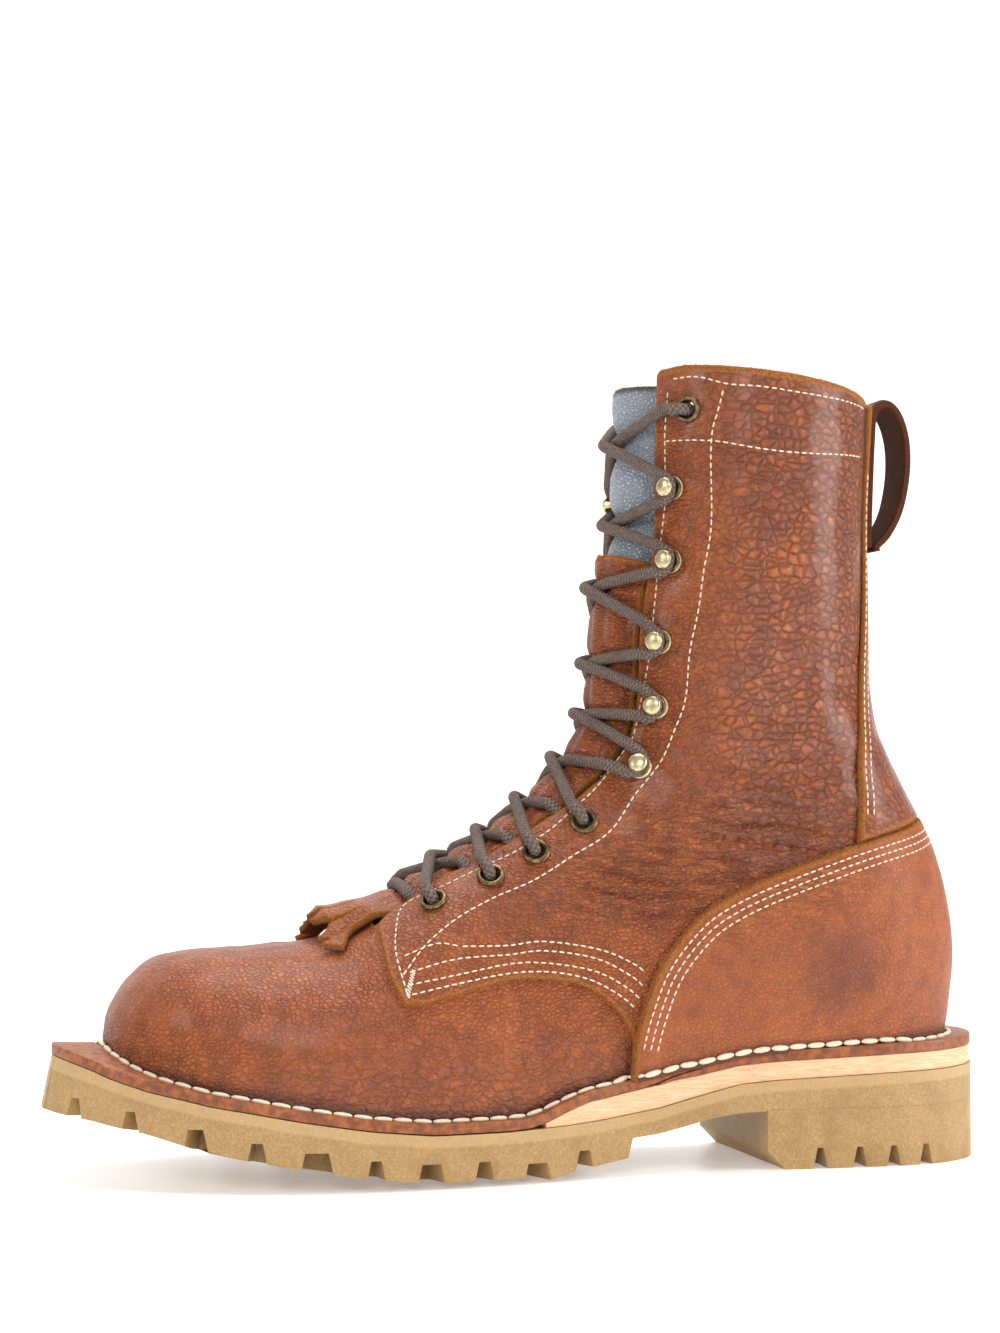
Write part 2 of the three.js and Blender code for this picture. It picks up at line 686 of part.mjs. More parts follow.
// Side-view regions of the overlays.
const scaled = (table) => table.map(([x, z]) => [x * SOLE_LENGTH, z * COLLAR_HEIGHT]);
const behind = -beyond;
const high = COLLAR_HEIGHT + beyond;

function quarterRegion() {
  const edge = scaled(QUARTER_EDGE);
  const top = [edge[0][0], high];
  return sideSlab([top, ...edge, [behind, 0], [behind, high]], -aside, aside);
}
function counterRegion() {
  const edge = scaled(COUNTER_EDGE);
  return sideSlab([...edge, [behind, edge[edge.length - 1][1]], [behind, 0]], -aside, aside);
}
function backstayRegion() {
  const edge = scaled(BACKSTAY_EDGE);
  const top = edge[edge.length - 1][1];
  const strip = sideSlab([...edge, [behind, top], [behind, edge[0][1]]], -aside, aside);
  const cut = scaled(COUNTER_EDGE).map(([x, z]) => [x, z + GAP * 2]);
  const counter = sideSlab([...cut, [behind, cut[cut.length - 1][1]], [behind, 0]], -aside, aside);
  return strip.subtract(counter);
}

// Everything above the collar's edge.
function overCollar() {
  const edge = scaled(COLLAR_EDGE);
  const front = edge[edge.length - 1][1];
  const start = [behind, edge[0][1]];
  return sideSlab(
    [start, ...edge, [SOLE_LENGTH, front], [SOLE_LENGTH, high], [behind, high]],
    -aside,
    aside,
  );
}

const throatStart = sectionAtRidge(0.664 * SOLE_LENGTH);
const throatHalf = THROAT / 2;

// The opening between the facings, as a loft of boxes along the ridge.
function throatCutter() {
  const out = 16;
  const rings = [];
  for (let t = throatStart - 0.15; t < lastSection + 0.2; t += 0.75) {
    const at = Math.min(t, lastSection);
    const { point, normal } = onUpper(at, 0, 0);
    const half = throatHalf - 1;
    const corner = (y, depth) => {
      const p = point.clone().addScaledVector(normal, depth);
      p.y = point.y + y;
      return p;
    };
    rings.push([
      corner(-half, out), corner(half, out), corner(half, -out), corner(-half, -out),
    ]);
  }
  const centre = (ring) => ring.reduce((sum, p) => sum.add(p), new THREE.Vector3())
    .divideScalar(ring.length);
  return solid(closeRings(rings, centre(rings[0]), centre(rings[rings.length - 1])));
}

// ---------------------------------------------------------------- lacing places

const levelPlaces = (levels, side) => levels.map(([share, margins]) => {
  const round = side * (throatHalf + FACING_MARGIN * margins);
  const t = sectionAtHeight(share * COLLAR_HEIGHT, round);
  return { t, round, ...onUpper(t, round, QUARTER_STEP) };
});
const eyeletPlaces = { l: levelPlaces(EYELET_LEVELS, 1), m: levelPlaces(EYELET_LEVELS, -1) };
const hookPlaces = { l: levelPlaces(HOOK_LEVELS, 1), m: levelPlaces(HOOK_LEVELS, -1) };

// Axes on the leather at a place: away from the throat, up the facing, outwards.
function leatherAxes(place) {
  const step = 0.3;
  const next = onUpper(Math.min(place.t + step, lastSection), place.round, QUARTER_STEP).point;
  const before = onUpper(place.t - step, place.round, QUARTER_STEP).point;
  const up = next.sub(before);
  up.addScaledVector(place.normal, -up.dot(place.normal)).normalize();
  const away = new THREE.Vector3().crossVectors(up, place.normal);
  if (away.y * place.round < 0) away.negate();
  return { away, up, out: place.normal };
}

// ---------------------------------------------------------------- upper pieces

function makeUpper() {
  const vamp = form(0);
  const quarters = form(QUARTER_STEP).intersect(quarterRegion());
  let shell = vamp.add(quarters).subtract(form(-WALL));
  shell = shell.subtract(underSeat(GAP)).subtract(overCollar()).subtract(throatCutter());
  const hole = (EYELET_BORE / 2 + 0.5 + GAP) / Math.cos(Math.PI / 8);
  for (const place of [...eyeletPlaces.l, ...eyeletPlaces.m]) {
    const drill = new THREE.CylinderGeometry(hole, hole, 14, 8);
    const up = new THREE.Vector3(0, 1, 0);
    drill.applyQuaternion(new THREE.Quaternion().setFromUnitVectors(up, place.normal));
    drill.translate(place.point.x, place.point.y, place.point.z);
    shell = shell.subtract(solid(drill));
  }
  return geometryOf(largestPiece(shell));
}

// A cut can leave loose slivers, so the piece with the most volume is the one.
function largestPiece(body) {
  const pieces = body.decompose();
  pieces.sort((a, b) => b.volume() - a.volume());
  return pieces[0];
}

const overlayGap = QUARTER_STEP + GAP;

function makeCounter() {
  const sheet = form(overlayGap + COUNTER).subtract(form(overlayGap));
  const cut = sheet.intersect(counterRegion()).subtract(underSeat(GAP));
  return geometryOf(largestPiece(cut));
}

function makeBackstay() {
  const sheet = form(overlayGap + BACKSTAY).subtract(form(overlayGap));
  return geometryOf(largestPiece(sheet.intersect(backstayRegion())));
}

function makeInsole() {
  const bottom = (s) => seatLine(s) + GAP;
  const top = (s) => seatLine(s) + GAP + INSOLE;
  const slab = layer(bottom, top, -6, SOLE_LENGTH + 6);
  return geometryOf(largestPiece(slab.intersect(form(-WALL - GAP))));
}

// ---------------------------------------------------------------- tongue and cover

const coverStart = sectionAtRidge(0.722 * SOLE_LENGTH);
const coverEnd = sectionAtHeight(0.762 * COLLAR_HEIGHT, 0);
const tongueStart = sectionAtRidge(0.640 * SOLE_LENGTH);
const tongueEnd = sectionAtHeight(0.982 * COLLAR_HEIGHT, 0);
const coverHalf = COVER_WIDTH / 2;
const coverWaist = throatStart - 0.6;

// Outer face of the cover above the surface, at a section and distance round. It
// lies on the vamp with its sides, and sinks between the facings in the throat.
function coverFace(t, round) {
  const share = (t - coverStart) / (coverEnd - coverStart);
  const top = INSTEP * lookUp(COVER_RISE, THREE.MathUtils.clamp(share, 0, 1));
  const bulge = 1 - Math.min(Math.abs(round) / coverHalf, 1) ** 2;
  const onVamp = COVER_ROOM + COVER;
  const sunk = THREE.MathUtils.smoothstep(t, throatStart - 0.1, throatStart + 0.4);
  const side = onVamp - (COVER_SINK + onVamp) * sunk;
  return side + (top - side) * bulge;
}

// Outer face of the tongue: under the cover in the throat, under the lining beside it.
function tongueFace(t, round) {
  const under = -WALL - TONGUE_ROOM;
  const open = coverFace(t, round) - COVER - COVER_ROOM;
  const beside = THREE.MathUtils.smoothstep(Math.abs(round), coverHalf * 0.7, coverHalf);
  const ahead = 1 - THREE.MathUtils.smoothstep(t, throatStart + 0.15, throatStart + 0.9);
  return open + (under - open) * Math.max(beside, ahead);
}

// A bent sheet over a grid of sections and distances round.
function sheet(sectionList, rounds, face, thickness) {
  const outer = [];
  const inner = [];
  for (const t of sectionList) {
    outer.push(rounds(t).map((a) => onUpper(t, a, face(t, a)).point));
    inner.push(rounds(t).map((a) => onUpper(t, a, face(t, a) - thickness).point));
  }
  const loops = outer.map((row, i) => [...row, ...inner[i].slice().reverse()]);
  const count = loops[0].length;
  const positions = loops.flat().flatMap((p) => [p.x, p.y, p.z]);
  const at = (i, j) => i * count + (j % count);
  const index = [];
  for (let i = 0; i < loops.length - 1; i += 1) {
    for (let j = 0; j < count; j += 1) {
      index.push(at(i, j), at(i, j + 1), at(i + 1, j));
      index.push(at(i, j + 1), at(i + 1, j + 1), at(i + 1, j));
    }
  }
  const half = count / 2;
  const last = loops.length - 1;
  for (let j = 0; j < half - 1; j += 1) {
    const back = count - 1 - j;
    index.push(at(0, j), at(0, back), at(0, j + 1));
    index.push(at(0, j + 1), at(0, back), at(0, back - 1));
    index.push(at(last, j), at(last, j + 1), at(last, back));
    index.push(at(last, j + 1), at(last, back - 1), at(last, back));
  }
  const geometry = new THREE.BufferGeometry();
  geometry.setAttribute('position', new THREE.Float32BufferAttribute(positions, 3));
  geometry.setIndex(index);
  geometry.computeVertexNormals();
  return geometry;
}

function spread(from, to, steps) {
  return Array.from({ length: steps + 1 }, (_, i) => from + (to - from) * i / steps);
}

function makeTongue() {
  const rounds = () => spread(-TONGUE_WIDTH / 2, TONGUE_WIDTH / 2, 10);
  return sheet(spread(tongueStart, tongueEnd, 13), rounds, tongueFace, TONGUE);
}

// The cover is wide over the vamp and slips between the facings behind it.
function makeCover() {
  const wide = coverHalf * 1.55;
  const rounds = (t) => {
    const share = THREE.MathUtils.smoothstep(t, coverWaist - 0.25, coverWaist);
    const half = wide + (coverHalf - wide) * share;
    return spread(-half, half, 6);
  };
  const rows = [
    ...spread(coverStart, coverWaist - 0.25, 2),
    ...spread(coverWaist, coverEnd, 10),
  ];
  let body = solid(sheet(rows, rounds, coverFace, COVER));
  const edge = smoothColumn(sections, 0, coverStart) + 2;
  const pitch = wide * 2 / 7;
  for (let k = -3; k < 4; k += 1) {
    const y = (k + 0.5) * pitch + onUpper(coverStart, 0, 0).point.y;
    const notch = [[edge, y - pitch * 0.36], [edge, y + pitch * 0.36], [edge - FRINGE, y]];
    body = body.subtract(planSlab(notch, 0, COLLAR_HEIGHT));
  }
  return geometryOf(largestPiece(body));
}

// ---------------------------------------------------------------- laces

// Height over the surface at which a lace clears what lies under it.
function laceFace(t, round, room) {
  const radius = LACE / 2;
  const facing = QUARTER_STEP + GAP + radius;
  const a = Math.abs(round);
  const share = (t - coverStart) / (coverEnd - coverStart);
  const sunk = share < 1.08 ? 0 : COVER + COVER_ROOM;
  const open = coverFace(t, round) - sunk + room + radius;
  if (a > throatHalf + 1) return facing;
  if (a < coverHalf * 0.7) return open;
  return Math.max(open, facing);
}

const LACE_SIDES = 6;

// One strand over the throat between two ends, each a section and distance round.
function strand(from, to, room = LACE_ROOM) {
  const points = spread(0, 1, 6).map((share) => {
    const t = from.t + (to.t - from.t) * share;
    const round = from.round + (to.round - from.round) * share;
    const lift = from.lift * Math.max(1 - 5 * share, 0) + to.lift * Math.max(5 * share - 4, 0);
    return onUpper(t, round, laceFace(t, round, room) + lift).point;
  });
  const path = new THREE.CatmullRomCurve3(points);
  const radius = LACE / 2;
  const corners = spread(0, 1, LACE_SIDES).slice(0, LACE_SIDES).map((share) => {
    const angle = share * 2 * Math.PI;
    return new THREE.Vector2(radius * Math.cos(angle), radius * Math.sin(angle));
  });
  const options = { steps: 7, bevelEnabled: false, extrudePath: path };
  return solid(new THREE.ExtrudeGeometry(new THREE.Shape(corners), options));
}

// The section a distance up the facing from a place.
function sectionUp(place, distance) {
  const step = 0.2;
  const next = onUpper(Math.min(place.t + step, lastSection), place.round, 0).point;
  const before = onUpper(place.t - step, place.round, 0).point;
  return place.t + distance * 2 * step / next.distanceTo(before);
}

// Where a strand leaves a place upwards, and where one arrives from below. At a
// hook both run beside the neck. At an eyelet the leaving strand comes out of the
// hole, and the arriving one dives under the edge of the facing.
const neckSide = HOOK_NECK / 2 + LACE / 2 + GAP * 3;
const hookInset = HOOK_REACH / 2 - LACE * 0.1;
const eyeletInset = EYELET_FLANGE / 2 + LACE * 0.4;
const diveEnd = throatHalf - LACE;
const hookLift = HOOK_METAL + GAP;
function leaving(place) {
  const side = Math.sign(place.round);
  if (!place.hook) return { t: place.t, round: place.round - side * eyeletInset, lift: 0 };
  const round = place.round - side * hookInset;
  return { t: sectionUp(place, neckSide), round, lift: hookLift };
}
function arriving(place) {
  const side = Math.sign(place.round);
  if (!place.hook) {
    return { t: sectionUp(place, -LACE * 1.2), round: side * diveEnd, lift: 0 };
  }
  const below = neckSide + LACE * 0.3;
  return { t: sectionUp(place, -below), round: place.round - side * hookInset, lift: hookLift };
}

const levelsUp = (side) => [
  ...eyeletPlaces[side].slice(0, 4),
  ...hookPlaces[side].map((at) => ({ ...at, hook: true })),
  eyeletPlaces[side][4],
];

// ---------------------------------------------------------------- metal and loop

function makeEyelet(place) {
  const bore = EYELET_BORE / 2;
  const barrel = bore + 0.5;
  const flange = EYELET_FLANGE / 2;
  const depth = WALL + QUARTER_STEP + 0.4;
  const seat = GAP * 1.8;
  const profile = [
    [bore, -depth], [barrel, -depth], [barrel, seat], [flange, seat],
    [flange * 0.8, seat + EYELET_RIM], [bore, seat + EYELET_RIM * 0.4], [bore, -depth],
  ];
  const geometry = new THREE.LatheGeometry(profile.map(([r, h]) => new THREE.Vector2(r, h)), 8);
  const up = new THREE.Vector3(0, 1, 0);
  const turn = new THREE.Quaternion().setFromUnitVectors(up, place.normal);
  return { geometry: geometryOf(solid(geometry)), position: place.point, turn };
}

// A speed hook: a foot on the leather, a neck at the throat side, and a head that
// stands over the foot and opens away from the throat.
function makeHook(place) {
  const half = HOOK_REACH / 2;
  const metal = HOOK_METAL;
  const low = GAP;
  const mouth = low + metal;
  const roof = mouth + LACE + 0.5;
  const top = roof + metal;
  const bite = 0.1;
  const foot = [[-half, low], [half, low], [half, mouth], [-half, mouth]];
  const neck = [[-half, mouth - bite], [-half + metal, mouth - bite], [-half + metal, roof + bite],
    [-half, roof + bite]];
  const head = [[-half, roof], [half * 0.7, roof], [half, roof + metal * 0.5], [half * 0.7, top],
    [-half * 0.7, top], [-half, roof + metal * 0.6]];
  const slab = (points, width) => sideSlab(points, -width / 2, width / 2);
  const body = slab(foot, HOOK_WIDTH).add(slab(neck, HOOK_NECK)).add(slab(head, HOOK_WIDTH));
  const { away, out } = leatherAxes(place);
  const across = new THREE.Vector3().crossVectors(out, away);
  const matrix = new THREE.Matrix4().makeBasis(away, across, out);
  const turn = new THREE.Quaternion().setFromRotationMatrix(matrix);
  return { geometry: geometryOf(body), position: place.point, turn };
}

// The pull loop stands on the backstay: a closed band seen from the side.
function makeLoop() {
  const top = COLLAR_HEIGHT * lookUp(COLLAR_EDGE, 0) + LOOP_STRAP;
  const bottom = top - LOOP_DROP;
  const faceAt = (z) => {
    const t = sectionAtBack(z);
    return onUpperBack(t, overlayGap + BACKSTAY + GAP);
  };
  const levels = spread(bottom, top, 6);
  const lean = levels.map((z) => [faceAt(z), z]);
  const bow = [[-2.5, 0.0], [-8, 0.09], [-12, 0.25], [-14, 0.45], [-14, 0.7], [-11, 0.9],
    [-6, 1.0], [-2, 1.01]];
  const outer = bow.map(([x, share]) => {
    const z = bottom + LOOP_DROP * share;
    return [faceAt(z) + x * LOOP_BOW / 14, z];
  });
  const hole = spread(bottom + LOOP_STRAP * 1.7, top - LOOP_STRAP, 6);
  const near = hole.map((z) => [faceAt(z) - LOOP_STRAP, z]);
  const far = hole.slice(1, -1).reverse().map((z) => {
    const share = (z - bottom) / LOOP_DROP;
    const table = bow.map(([x, h]) => [h, x]);
    return [faceAt(z) + lookUp(table, share) * LOOP_BOW / 14 + LOOP_STRAP, z];
  });
  const half = LOOP_WIDTH / 2;
  const band = sideSlab([...lean, ...outer.reverse()], -half, half);
  return geometryOf(band.subtract(sideSlab([...near, ...far], -half - 1, half + 1)));
}

function sectionAtBack(z) {
  let low = TOE_ROWS + 8;
  let high2 = lastSection;
  for (let k = 0; k < 40; k += 1) {
    const middle = (low + high2) / 2;
    if (smoothColumn(sections, 3, middle) < z) low = middle;
    else high2 = middle;
  }
  return (low + high2) / 2;
}

function onUpperBack(t, offset) {
  return surfacePoint(t, 1, 1).x - offset;
}

// ---------------------------------------------------------------- boot

const leather = { color: 0x9a5230, roughness: 0.5, metalness: 0 };
const finishes = {
  rubber: { color: 0xc99b5c, roughness: 0.7, metalness: 0 },
  stack: { color: 0xe6bd93, roughness: 0.8, metalness: 0 },
  edge: { color: 0x8a5530, roughness: 0.6, metalness: 0 },
  leather,
  darker: { color: 0x7d4128, roughness: 0.5, metalness: 0 },
  tongue: { color: 0x6d757c, roughness: 0.6, metalness: 0 },
  lining: { color: 0xb08a66, roughness: 0.8, metalness: 0 },
  lace: { color: 0x5a4a42, roughness: 0.9, metalness: 0 },
  brass: { color: 0xb3a06a, roughness: 0.35, metalness: 1 },
};

const boot = new THREE.Group();
boot.position.set(-midX, -midY, 0);

function place(name, finish, geometry) {
  const mesh = new THREE.Mesh(geometry, new THREE.MeshStandardMaterial(finishes[finish]));
  mesh.name = name;
  boot.add(mesh);
  return mesh;
}

place('outsole', 'rubber', makeOutsole());
place('heel', 'rubber', makeHeel());
place('midsole', 'stack', makeMidsole());
place('welt', 'edge', makeWelt());
place('heel_rand', 'edge', makeHeelRand());
place('insole', 'lining', makeInsole());
place('upper', 'leather', makeUpper());
place('counter', 'darker', makeCounter());
place('backstay', 'leather', makeBackstay());
place('tongue', 'tongue', makeTongue());
place('kiltie', 'darker', makeCover());
place('pull_loop', 'leather', makeLoop());

for (const side of ['l', 'm']) {
  eyeletPlaces[side].forEach((at, i) => {
    const { geometry, position, turn } = makeEyelet(at);
    const mesh = place(`eyelet_${side}${i + 1}`, 'brass', geometry);
    mesh.position.copy(position);
    mesh.quaternion.copy(turn);
  });
  hookPlaces[side].forEach((at, i) => {
    const { geometry, position, turn } = makeHook(at);
    const mesh = place(`hook_${side}${i + 1}`, 'brass', geometry);
    mesh.position.copy(position);
    mesh.quaternion.copy(turn);
  });
}

const outerLevels = levelsUp('l');
const innerLevels = levelsUp('m');
const bar = strand(arriving(outerLevels[0]), arriving(innerLevels[0]), GAP);
place('lace_bar', 'lace', geometryOf(bar));
for (let k = 0; k < outerLevels.length - 1; k += 1) {
  const first = strand(leaving(outerLevels[k]), arriving(innerLevels[k + 1]));
  const second = strand(leaving(innerLevels[k]), arriving(outerLevels[k + 1]));
  place(`lace_cross_${k + 1}`, 'lace', geometryOf(first.add(second)));
}

export default boot;
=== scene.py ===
# %% [markdown]
# A leather lace-up work boot for the left foot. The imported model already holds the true
# size and place of every piece, as faceted solids. This lesson dresses it: smooth
# leather with cut edges and creases, stitching, brass, a braided lace and a cast rubber
# sole. It starts by loading that model, whose box nothing here may outgrow.

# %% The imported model
import math

import bmesh
import bpy
import numpy as np
from mathutils import Matrix, Vector, noise
from mathutils.bvhtree import BVHTree
from mathutils.kdtree import KDTree


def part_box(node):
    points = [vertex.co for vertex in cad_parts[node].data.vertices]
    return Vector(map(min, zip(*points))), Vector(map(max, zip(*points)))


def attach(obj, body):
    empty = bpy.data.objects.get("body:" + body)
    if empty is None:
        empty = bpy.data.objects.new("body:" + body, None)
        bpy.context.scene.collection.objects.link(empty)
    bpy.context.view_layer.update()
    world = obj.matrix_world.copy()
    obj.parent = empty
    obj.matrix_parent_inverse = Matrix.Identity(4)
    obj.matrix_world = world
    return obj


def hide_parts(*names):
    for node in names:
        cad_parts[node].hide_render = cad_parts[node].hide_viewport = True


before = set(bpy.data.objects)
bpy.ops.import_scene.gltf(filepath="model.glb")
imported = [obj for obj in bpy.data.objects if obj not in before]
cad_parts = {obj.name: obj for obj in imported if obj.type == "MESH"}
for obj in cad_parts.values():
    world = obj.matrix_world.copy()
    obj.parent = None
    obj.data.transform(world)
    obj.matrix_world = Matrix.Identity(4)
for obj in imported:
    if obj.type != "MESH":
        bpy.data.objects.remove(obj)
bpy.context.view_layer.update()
bpy.ops.object.select_all(action="DESELECT")
MM = 0.001
chance = np.random.default_rng(7)

# %% [markdown]
# A shoemaker works from a last, a solid foot with a section for every station. The
# tables below hold the same sections as the model does: lengths are shares of the sole's
# length, widths of half the ball width. Everything on the boot is then a place on that
# one surface: a section number t from toe to collar, and a share c round it, which is 0
# on the ridge, 1 at the base on the outer side and -1 at the base on the inner side.

# %% Sizes and tables
sole_low, sole_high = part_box("outsole")
LENGTH = (sole_high.x - sole_low.x) / MM  # the boot's own x starts at the heel's back
HALF_BALL = 55.0
loop_low, loop_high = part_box("pull_loop")
BOOT_ORIGIN = np.array([sole_low.x, (loop_low.y + loop_high.y) / 2, 0]) / MM
HEEL_RUBBER, FORE_RUBBER, HEEL_BLOCK, HEEL_LENGTH = 32.5, 17.1, 19.8, 86.5
TOE_SPRING, MIDSOLE, WELT, TREAD_CROWN = 23.5, 6.8, 3.7, 2.2
TOE_BOX, INSTEP, SHAFT, COLLAR = 45.0, 108.0, 126.5, 271.5
WALL, QUARTER_STEP, COUNTER, BACKSTAY, THROAT, GAP = 1.5, 1.5, 2.3, 2.0, 43.0, 0.3
TONGUE, TONGUE_WIDTH, TONGUE_ROOM = 3.0, 62.0, 1.8
COVER, COVER_WIDTH, COVER_ROOM, COVER_SINK = 2.2, 38.0, 1.4, 0.4
LACE, FACING_MARGIN = 4.3, 9.5

OUTLINE = [
    (0.000, 0.000), (0.018, 0.364), (0.062, 0.600), (0.114, 0.682), (0.185, 0.687),
    (0.262, 0.664), (0.338, 0.664), (0.415, 0.718), (0.492, 0.818), (0.569, 0.909),
    (0.646, 0.964), (0.723, 0.960), (0.794, 0.891), (0.855, 0.773), (0.911, 0.600),
    (0.954, 0.400), (0.985, 0.182), (1.000, -0.091), (0.991, -0.327), (0.963, -0.545),
    (0.917, -0.745), (0.855, -0.909), (0.785, -1.000), (0.708, -1.018), (0.631, -0.945),
    (0.554, -0.818), (0.477, -0.700), (0.400, -0.636), (0.323, -0.627), (0.246, -0.655),
    (0.169, -0.682), (0.114, -0.678), (0.062, -0.600), (0.018, -0.364),
]
TREAD_RISE = [
    (0.529, 0.000), (0.631, 0.000), (0.695, 0.085), (0.763, 0.230), (0.812, 0.353),
    (0.852, 0.485), (0.909, 0.757), (0.958, 0.923), (1.000, 1.000),
]
FORE_SHARE = [
    (0.769, 1.000), (0.812, 1.000), (0.862, 0.930), (0.908, 0.820), (0.945, 0.870),
    (1.000, 1.000),
]
HEEL_SHARE = [
    (0.000, 1.000), (0.123, 0.935), (0.255, 0.825), (0.295, 0.760), (0.342, 0.526),
    (0.385, 0.312), (0.446, 0.136), (0.489, 0.058), (0.554, 0.000),
]
SHANK = [
    (0.000, 1.015), (0.267, 1.015), (0.268, 0.990), (0.295, 0.975), (0.325, 0.909),
    (0.356, 0.788), (0.386, 0.687), (0.415, 0.640), (0.420, 0.313), (0.462, 0.205),
    (0.489, 0.126), (0.515, 0.020),
]
MIDSOLE_SHARE = [
    (0.000, 0.940), (0.295, 0.940), (0.342, 1.030), (0.369, 1.150), (0.415, 1.100),
    (0.462, 1.000), (0.489, 0.650), (0.511, 0.250), (0.529, 0.050), (1.000, 0.000),
]
LUG_GROOVES = [
    (0.974, 0.95), (0.923, 0.90), (0.863, 1.20), (0.805, 0.95), (0.749, 1.60),
    (0.689, 0.90), (0.633, 1.40), (0.578, 1.00), (0.521, 1.50), (0.468, 1.00),
]
HEEL_GROOVES = [0.790, 0.628, 0.484, 0.340]

# Sections: ridge along, ridge up, base along, base up, outer, inner, middle, height of
# the widest place, fullness of the lower and of the upper arc.
TOE_ROWS = 6
SECTIONS = [
    (0.937, 0.169, 0.937, 0.169, -0.145, 0.145, -0.145, 0.50, 3.0, 2.40),
    (0.933, 0.311, 0.933, 0.000, 0.036, 0.327, -0.145, 0.50, 3.0, 2.40),
    (0.925, 0.463, 0.925, -0.159, 0.200, 0.491, -0.145, 0.47, 3.2, 2.40),
    (0.908, 0.675, 0.908, -0.232, 0.382, 0.655, -0.136, 0.44, 3.6, 2.40),
    (0.880, 0.859, 0.880, -0.297, 0.564, 0.791, -0.127, 0.42, 4.0, 2.40),
    (0.837, 0.973, 0.837, -0.298, 0.727, 0.909, -0.109, 0.40, 4.5, 2.40),
    (0.769, 0.454, 0.769, -0.135, 0.855, 0.973, -0.082, 0.38, 5.0, 2.40),
    (0.708, 0.505, 0.702, -0.135, 0.900, 0.973, -0.055, 0.38, 5.0, 2.50),
    (0.658, 0.600, 0.631, -0.132, 0.882, 0.909, -0.036, 0.38, 5.0, 2.80),
    (0.606, 0.715, 0.548, -0.119, 0.818, 0.800, -0.018, 0.38, 5.0, 2.90),
    (0.551, 0.816, 0.455, -0.125, 0.727, 0.700, 0.000, 0.38, 4.5, 2.80),
    (0.502, 0.895, 0.354, -0.105, 0.673, 0.645, 0.000, 0.40, 4.2, 2.70),
    (0.463, 0.944, 0.246, -0.121, 0.655, 0.636, 0.000, 0.45, 4.0, 2.60),
    (0.434, 1.011, 0.138, -0.115, 0.655, 0.645, 0.000, 0.50, 3.6, 2.60),
    (0.417, 1.066, 0.065, -0.102, 0.664, 0.655, 0.000, 0.52, 3.0, 2.60),
    (0.408, 1.133, 0.037, 0.145, 0.673, 0.664, 0.000, 0.54, 2.4, 2.60),
    (0.404, 1.211, 0.035, 0.349, 0.682, 0.673, 0.000, 0.56, 2.2, 2.50),
    (0.402, 1.289, 0.052, 0.563, 0.691, 0.682, 0.000, 0.56, 2.1, 2.50),
    (0.398, 1.367, 0.086, 0.760, 0.718, 0.709, 0.000, 0.55, 2.1, 2.40),
    (0.392, 1.447, 0.117, 0.939, 0.745, 0.736, 0.000, 0.53, 2.1, 2.30),
    (0.385, 1.527, 0.129, 1.083, 0.773, 0.764, 0.000, 0.52, 2.1, 2.20),
    (0.381, 1.620, 0.134, 1.273, 0.800, 0.791, 0.000, 0.50, 2.2, 2.20),
    (0.380, 1.777, 0.135, 1.518, 0.818, 0.809, 0.000, 0.50, 2.2, 2.20),
    (0.378, 1.918, 0.132, 1.739, 0.827, 0.818, 0.000, 0.50, 2.2, 2.20),
    (0.377, 2.028, 0.128, 1.905, 0.827, 0.818, 0.000, 0.50, 2.2, 2.20),
    (0.377, 2.123, 0.126, 2.000, 0.827, 0.818, 0.000, 0.50, 2.2, 2.20),
]

# Side-view edges: share of the length, share of the collar height.
QUARTER_EDGE = [
    (0.662, 0.400), (0.659, 0.350), (0.667, 0.318), (0.671, 0.280), (0.670, 0.250),
    (0.660, 0.221), (0.648, 0.215), (0.604, 0.226), (0.550, 0.241), (0.510, 0.241),
    (0.470, 0.233), (0.443, 0.214), (0.425, 0.192), (0.412, 0.160), (0.408, 0.100),
    (0.404, 0.000),
]
COUNTER_EDGE = [
    (0.420, 0.060), (0.417, 0.138), (0.411, 0.177), (0.399, 0.219), (0.385, 0.255),
    (0.362, 0.291), (0.333, 0.323), (0.291, 0.350), (0.244, 0.372), (0.190, 0.394),
    (0.146, 0.409), (0.092, 0.424), (0.040, 0.440), (-0.060, 0.462),
]
BACKSTAY_EDGE = [
    (0.170, 0.380), (0.166, 0.456), (0.167, 0.508), (0.160, 0.585), (0.156, 0.649),
    (0.151, 0.713), (0.148, 0.752), (0.144, 0.850), (0.142, 1.100),
]
COLLAR_EDGE = [
    (0.000, 0.967), (0.145, 0.967), (0.185, 0.976), (0.249, 0.987), (0.317, 0.996),
    (0.348, 1.000), (0.382, 0.995), (0.600, 0.990),
]
EYELET_LEVELS = [(0.332, 1.0), (0.362, 1.0), (0.391, 1.0), (0.429, 1.0), (0.943, 1.5)]
HOOK_LEVELS = [(0.496, 1.0), (0.573, 1.0), (0.654, 1.0), (0.754, 1.0), (0.846, 1.0)]
COVER_RISE = [
    (0.000, 0.079), (0.020, 0.097), (0.065, 0.076), (0.095, 0.051), (0.140, 0.030),
    (0.170, 0.014), (0.250, 0.005), (0.320, 0.009), (0.400, 0.026), (0.475, 0.051),
    (0.550, 0.060), (0.630, 0.064), (0.700, 0.063), (0.780, 0.067), (0.855, 0.069),
    (0.930, 0.081), (1.000, 0.091),
]

# %% Heights of the sole's layers
def look_up(table, x):
    """Value of a two-column table, straight between its rows."""
    return np.interp(x, [row[0] for row in table], [row[1] for row in table])

def smoothstep(x, low, high):
    share = np.clip((np.asarray(x, float) - low) / (high - low), 0, 1)
    return share * share * (3 - 2 * share)

def tread(s):
    return TOE_SPRING * look_up(TREAD_RISE, s / LENGTH)

def underside(s):
    return np.where(s / LENGTH > SHANK[-1][0], tread(s), HEEL_BLOCK * look_up(SHANK, s / LENGTH))

